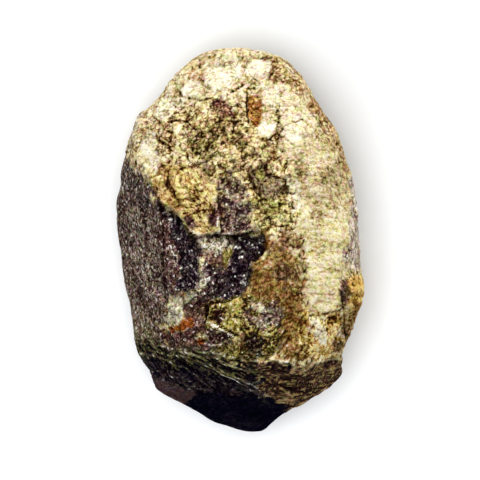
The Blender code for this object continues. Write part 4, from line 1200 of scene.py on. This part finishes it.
def new_mesh(name, points, quads, last_face=()):
    """A mesh object at the origin from arrays of points and quads, and one more face of many sides."""
    mesh = bpy.data.meshes.new(name)
    loops = np.concatenate([quads.ravel(), np.asarray(last_face, int)])
    sides = [4] * len(quads)
    if len(last_face):
        sides.append(len(last_face))
    mesh.vertices.add(len(points))
    mesh.vertices.foreach_set("co", points.ravel())
    mesh.loops.add(len(loops))
    mesh.loops.foreach_set("vertex_index", loops)
    mesh.polygons.add(len(sides))
    mesh.polygons.foreach_set("loop_start", np.concatenate([[0], np.cumsum(sides)[:-1]]))
    mesh.update(calc_edges=True)
    mesh.validate()
    mesh.shade_smooth()
    piece = bpy.data.objects.new(name, mesh)
    bpy.context.scene.collection.objects.link(piece)
    return piece


def write_attribute(mesh, name, kind, field, values):
    """Stores a value for each point of the mesh."""
    mesh.attributes.new(name, kind, "POINT").data.foreach_set(field, np.ravel(values))


class AnglesiteColours(bpy.types.PropertyGroup):
    """Colours of each mineral's dark, middle and light grains."""


for mineral_name, mineral_values in MINERALS.items():
    for shade_name, shade_hex in zip(SHADES, mineral_values):
        AnglesiteColours.__annotations__[f"{mineral_name}_{shade_name}"] = bpy.props.FloatVectorProperty(
            name=f"{mineral_name.replace('_', ' ').capitalize()}, {shade_name}",
            description=f"Colour of the {shade_name} grains of the {mineral_name.replace('_', ' ')}",
            default=tuple(linear_colour(shade_hex)), min=0.0, max=1.0, subtype="COLOR",
        )


class AnglesiteFinish(bpy.types.PropertyGroup):
    """Sizes of the mesh and of the finest grains."""

    cell: bpy.props.FloatProperty(
        name="Mesh cell", description="Width of the mesh's cells on the crust side",
        default=0.225 * MM, min=0.1 * MM, precision=6, unit="LENGTH",
    )
    side_rows: bpy.props.IntProperty(
        name="Side rows", description="Rows of cells from the crust's rim down to the underside",
        default=66, min=8,
    )
    base_rings: bpy.props.IntProperty(
        name="Base rings", description="Rings of cells on the underside", default=16, min=1,
    )
    face_size: bpy.props.FloatProperty(
        name="Crystal face", description="Width of the smallest crystal faces, drawn coarse enough to show",
        default=0.31 * MM, min=0.05 * MM, precision=6, unit="LENGTH",
    )
    granule_size: bpy.props.FloatProperty(
        name="Crust granule", description="Width of the granules that the crust's plates are made of",
        default=0.75 * MM, min=0.1 * MM, precision=6, unit="LENGTH",
    )
    trace_size: bpy.props.FloatProperty(
        name="Tint size", description="Width of the patches of grains that share a tint",
        default=0.75 * MM, min=0.05 * MM, precision=6, unit="LENGTH",
    )
    plate_size: bpy.props.FloatProperty(
        name="Crust plate", description="Width of the plates that the crust has cracked into",
        default=2.2 * MM, min=0.2 * MM, precision=6, unit="LENGTH",
    )
    bump_height: bpy.props.FloatProperty(
        name="Grain height", description="How far the finest grains stand up",
        default=0.08 * MM, min=0.0, precision=6, unit="LENGTH",
    )


class ANGLESITE_OT_stone(bpy.types.Operator):
    """Make the stone: one closed surface with the relief and colours of its crust, heart, side and front"""

    bl_idname = "anglesite.stone"
    bl_label = "Stone"

    def execute(self, context):
        finish = context.scene.anglesite_finish
        points, quads, last_ring = cage(finish.cell / MM, finish.side_rows, finish.base_rings)
        minerals = mineral_colours(context.scene.anglesite_colours)
        points, stuff, values, flow = stone_surface(points, quads, minerals)
        stone = new_mesh(PIECE, points, quads, last_ring)
        for i, shade in enumerate(SHADES):
            opaque = np.column_stack([stuff[:, 3 * i:3 * i + 3], np.ones(len(stuff))])
            write_attribute(stone.data, shade, "FLOAT_COLOR", "color", opaque)
        write_attribute(stone.data, "flow", "FLOAT_VECTOR", "vector", flow)
        for name, each in values.items():
            write_attribute(stone.data, name, "FLOAT", "value", each)
        stone.data.materials.append(anglesite_material(finish))
        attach(stone, "root")
        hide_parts(NODE)
        return {"FINISHED"}


def soft_light(name, lit, azimuth, elevation, size, brightness):
    """A square softbox that points at the stone from that side and height, and lights that object alone.

    Its brightness is that of white paper turned to it."""
    away = SOFTBOX_DISTANCE * MM
    data = bpy.data.lights.new(name, "AREA")
    data.size = size * MM
    data.energy = brightness * (math.pi * away) ** 2
    light = bpy.data.objects.new(name, data)
    bpy.context.scene.collection.objects.link(light)
    way = Vector(facing(azimuth, 90 - elevation))
    light.location = way * away
    light.rotation_euler = way.to_track_quat("Z", "Y").to_euler()
    receivers = bpy.data.collections.new(f"lit_by_{name}")
    receivers.objects.link(lit)
    light.light_linking.receiver_collection = receivers


class ANGLESITE_OT_stage(bpy.types.Operator):
    """Make the stage: a white paper floor, soft lights and the camera that looks straight down"""

    bl_idname = "anglesite.stage"
    bl_label = "Stage"

    def execute(self, context):
        corners = np.array([(-1, -1, 0), (1, -1, 0), (1, 1, 0), (-1, 1, 0)]) * FLOOR_HALF * MM
        floor = new_mesh("paper_floor", corners, np.array([[0, 1, 2, 3]]))
        floor.data.materials.append(paper_material())
        for lit, lights in ((bpy.data.objects[PIECE], STONE_LIGHTS), (floor, FLOOR_LIGHTS)):
            for name, values in lights.items():
                soft_light(name, lit, *values)
        world = bpy.data.worlds.new("soft_room")
        world.use_nodes = True
        room = world.node_tree.nodes["Background"].inputs
        room["Color"].default_value = (1.0, 1.0, 1.0, 1.0)
        room["Strength"].default_value = ROOM_BRIGHTNESS
        context.scene.world = world
        camera_data = bpy.data.cameras.new("camera")
        camera_data.sensor_width = SENSOR
        camera_data.lens = SENSOR * CAMERA_DISTANCE / FRAME_WIDTH
        camera_data.clip_end = CAMERA_SIGHT * MM
        camera = bpy.data.objects.new("camera", camera_data)
        camera.location = (0.0, 0.0, (CAMERA_DISTANCE + GIRTH_HEIGHT) * MM)
        context.scene.collection.objects.link(camera)
        context.scene.camera = camera
        context.scene.view_settings.view_transform = "Standard"
        return {"FINISHED"}


class ANGLESITE_PT_panel(bpy.types.Panel):
    """The specimen's operators, sizes and colours"""

    bl_label = "Raw anglesite"
    bl_space_type = "VIEW_3D"
    bl_region_type = "UI"
    bl_category = "Anglesite"

    def draw(self, context):
        for operator in (ANGLESITE_OT_stone, ANGLESITE_OT_stage):
            self.layout.operator(operator.bl_idname)
        for group in (context.scene.anglesite_finish, context.scene.anglesite_colours):
            for name in group.__annotations__:
                self.layout.prop(group, name)


CLASSES = (AnglesiteColours, AnglesiteFinish, ANGLESITE_OT_stone, ANGLESITE_OT_stage, ANGLESITE_PT_panel)


def register():
    for one in CLASSES:
        bpy.utils.register_class(one)
    bpy.types.Scene.anglesite_colours = bpy.props.PointerProperty(type=AnglesiteColours)
    bpy.types.Scene.anglesite_finish = bpy.props.PointerProperty(type=AnglesiteFinish)


def unregister():
    del bpy.types.Scene.anglesite_finish
    del bpy.types.Scene.anglesite_colours
    for one in reversed(CLASSES):
        bpy.utils.unregister_class(one)


def main():
    register()
    bpy.ops.anglesite.stone()
    bpy.ops.anglesite.stage()


if __name__ == "__main__":
    main()
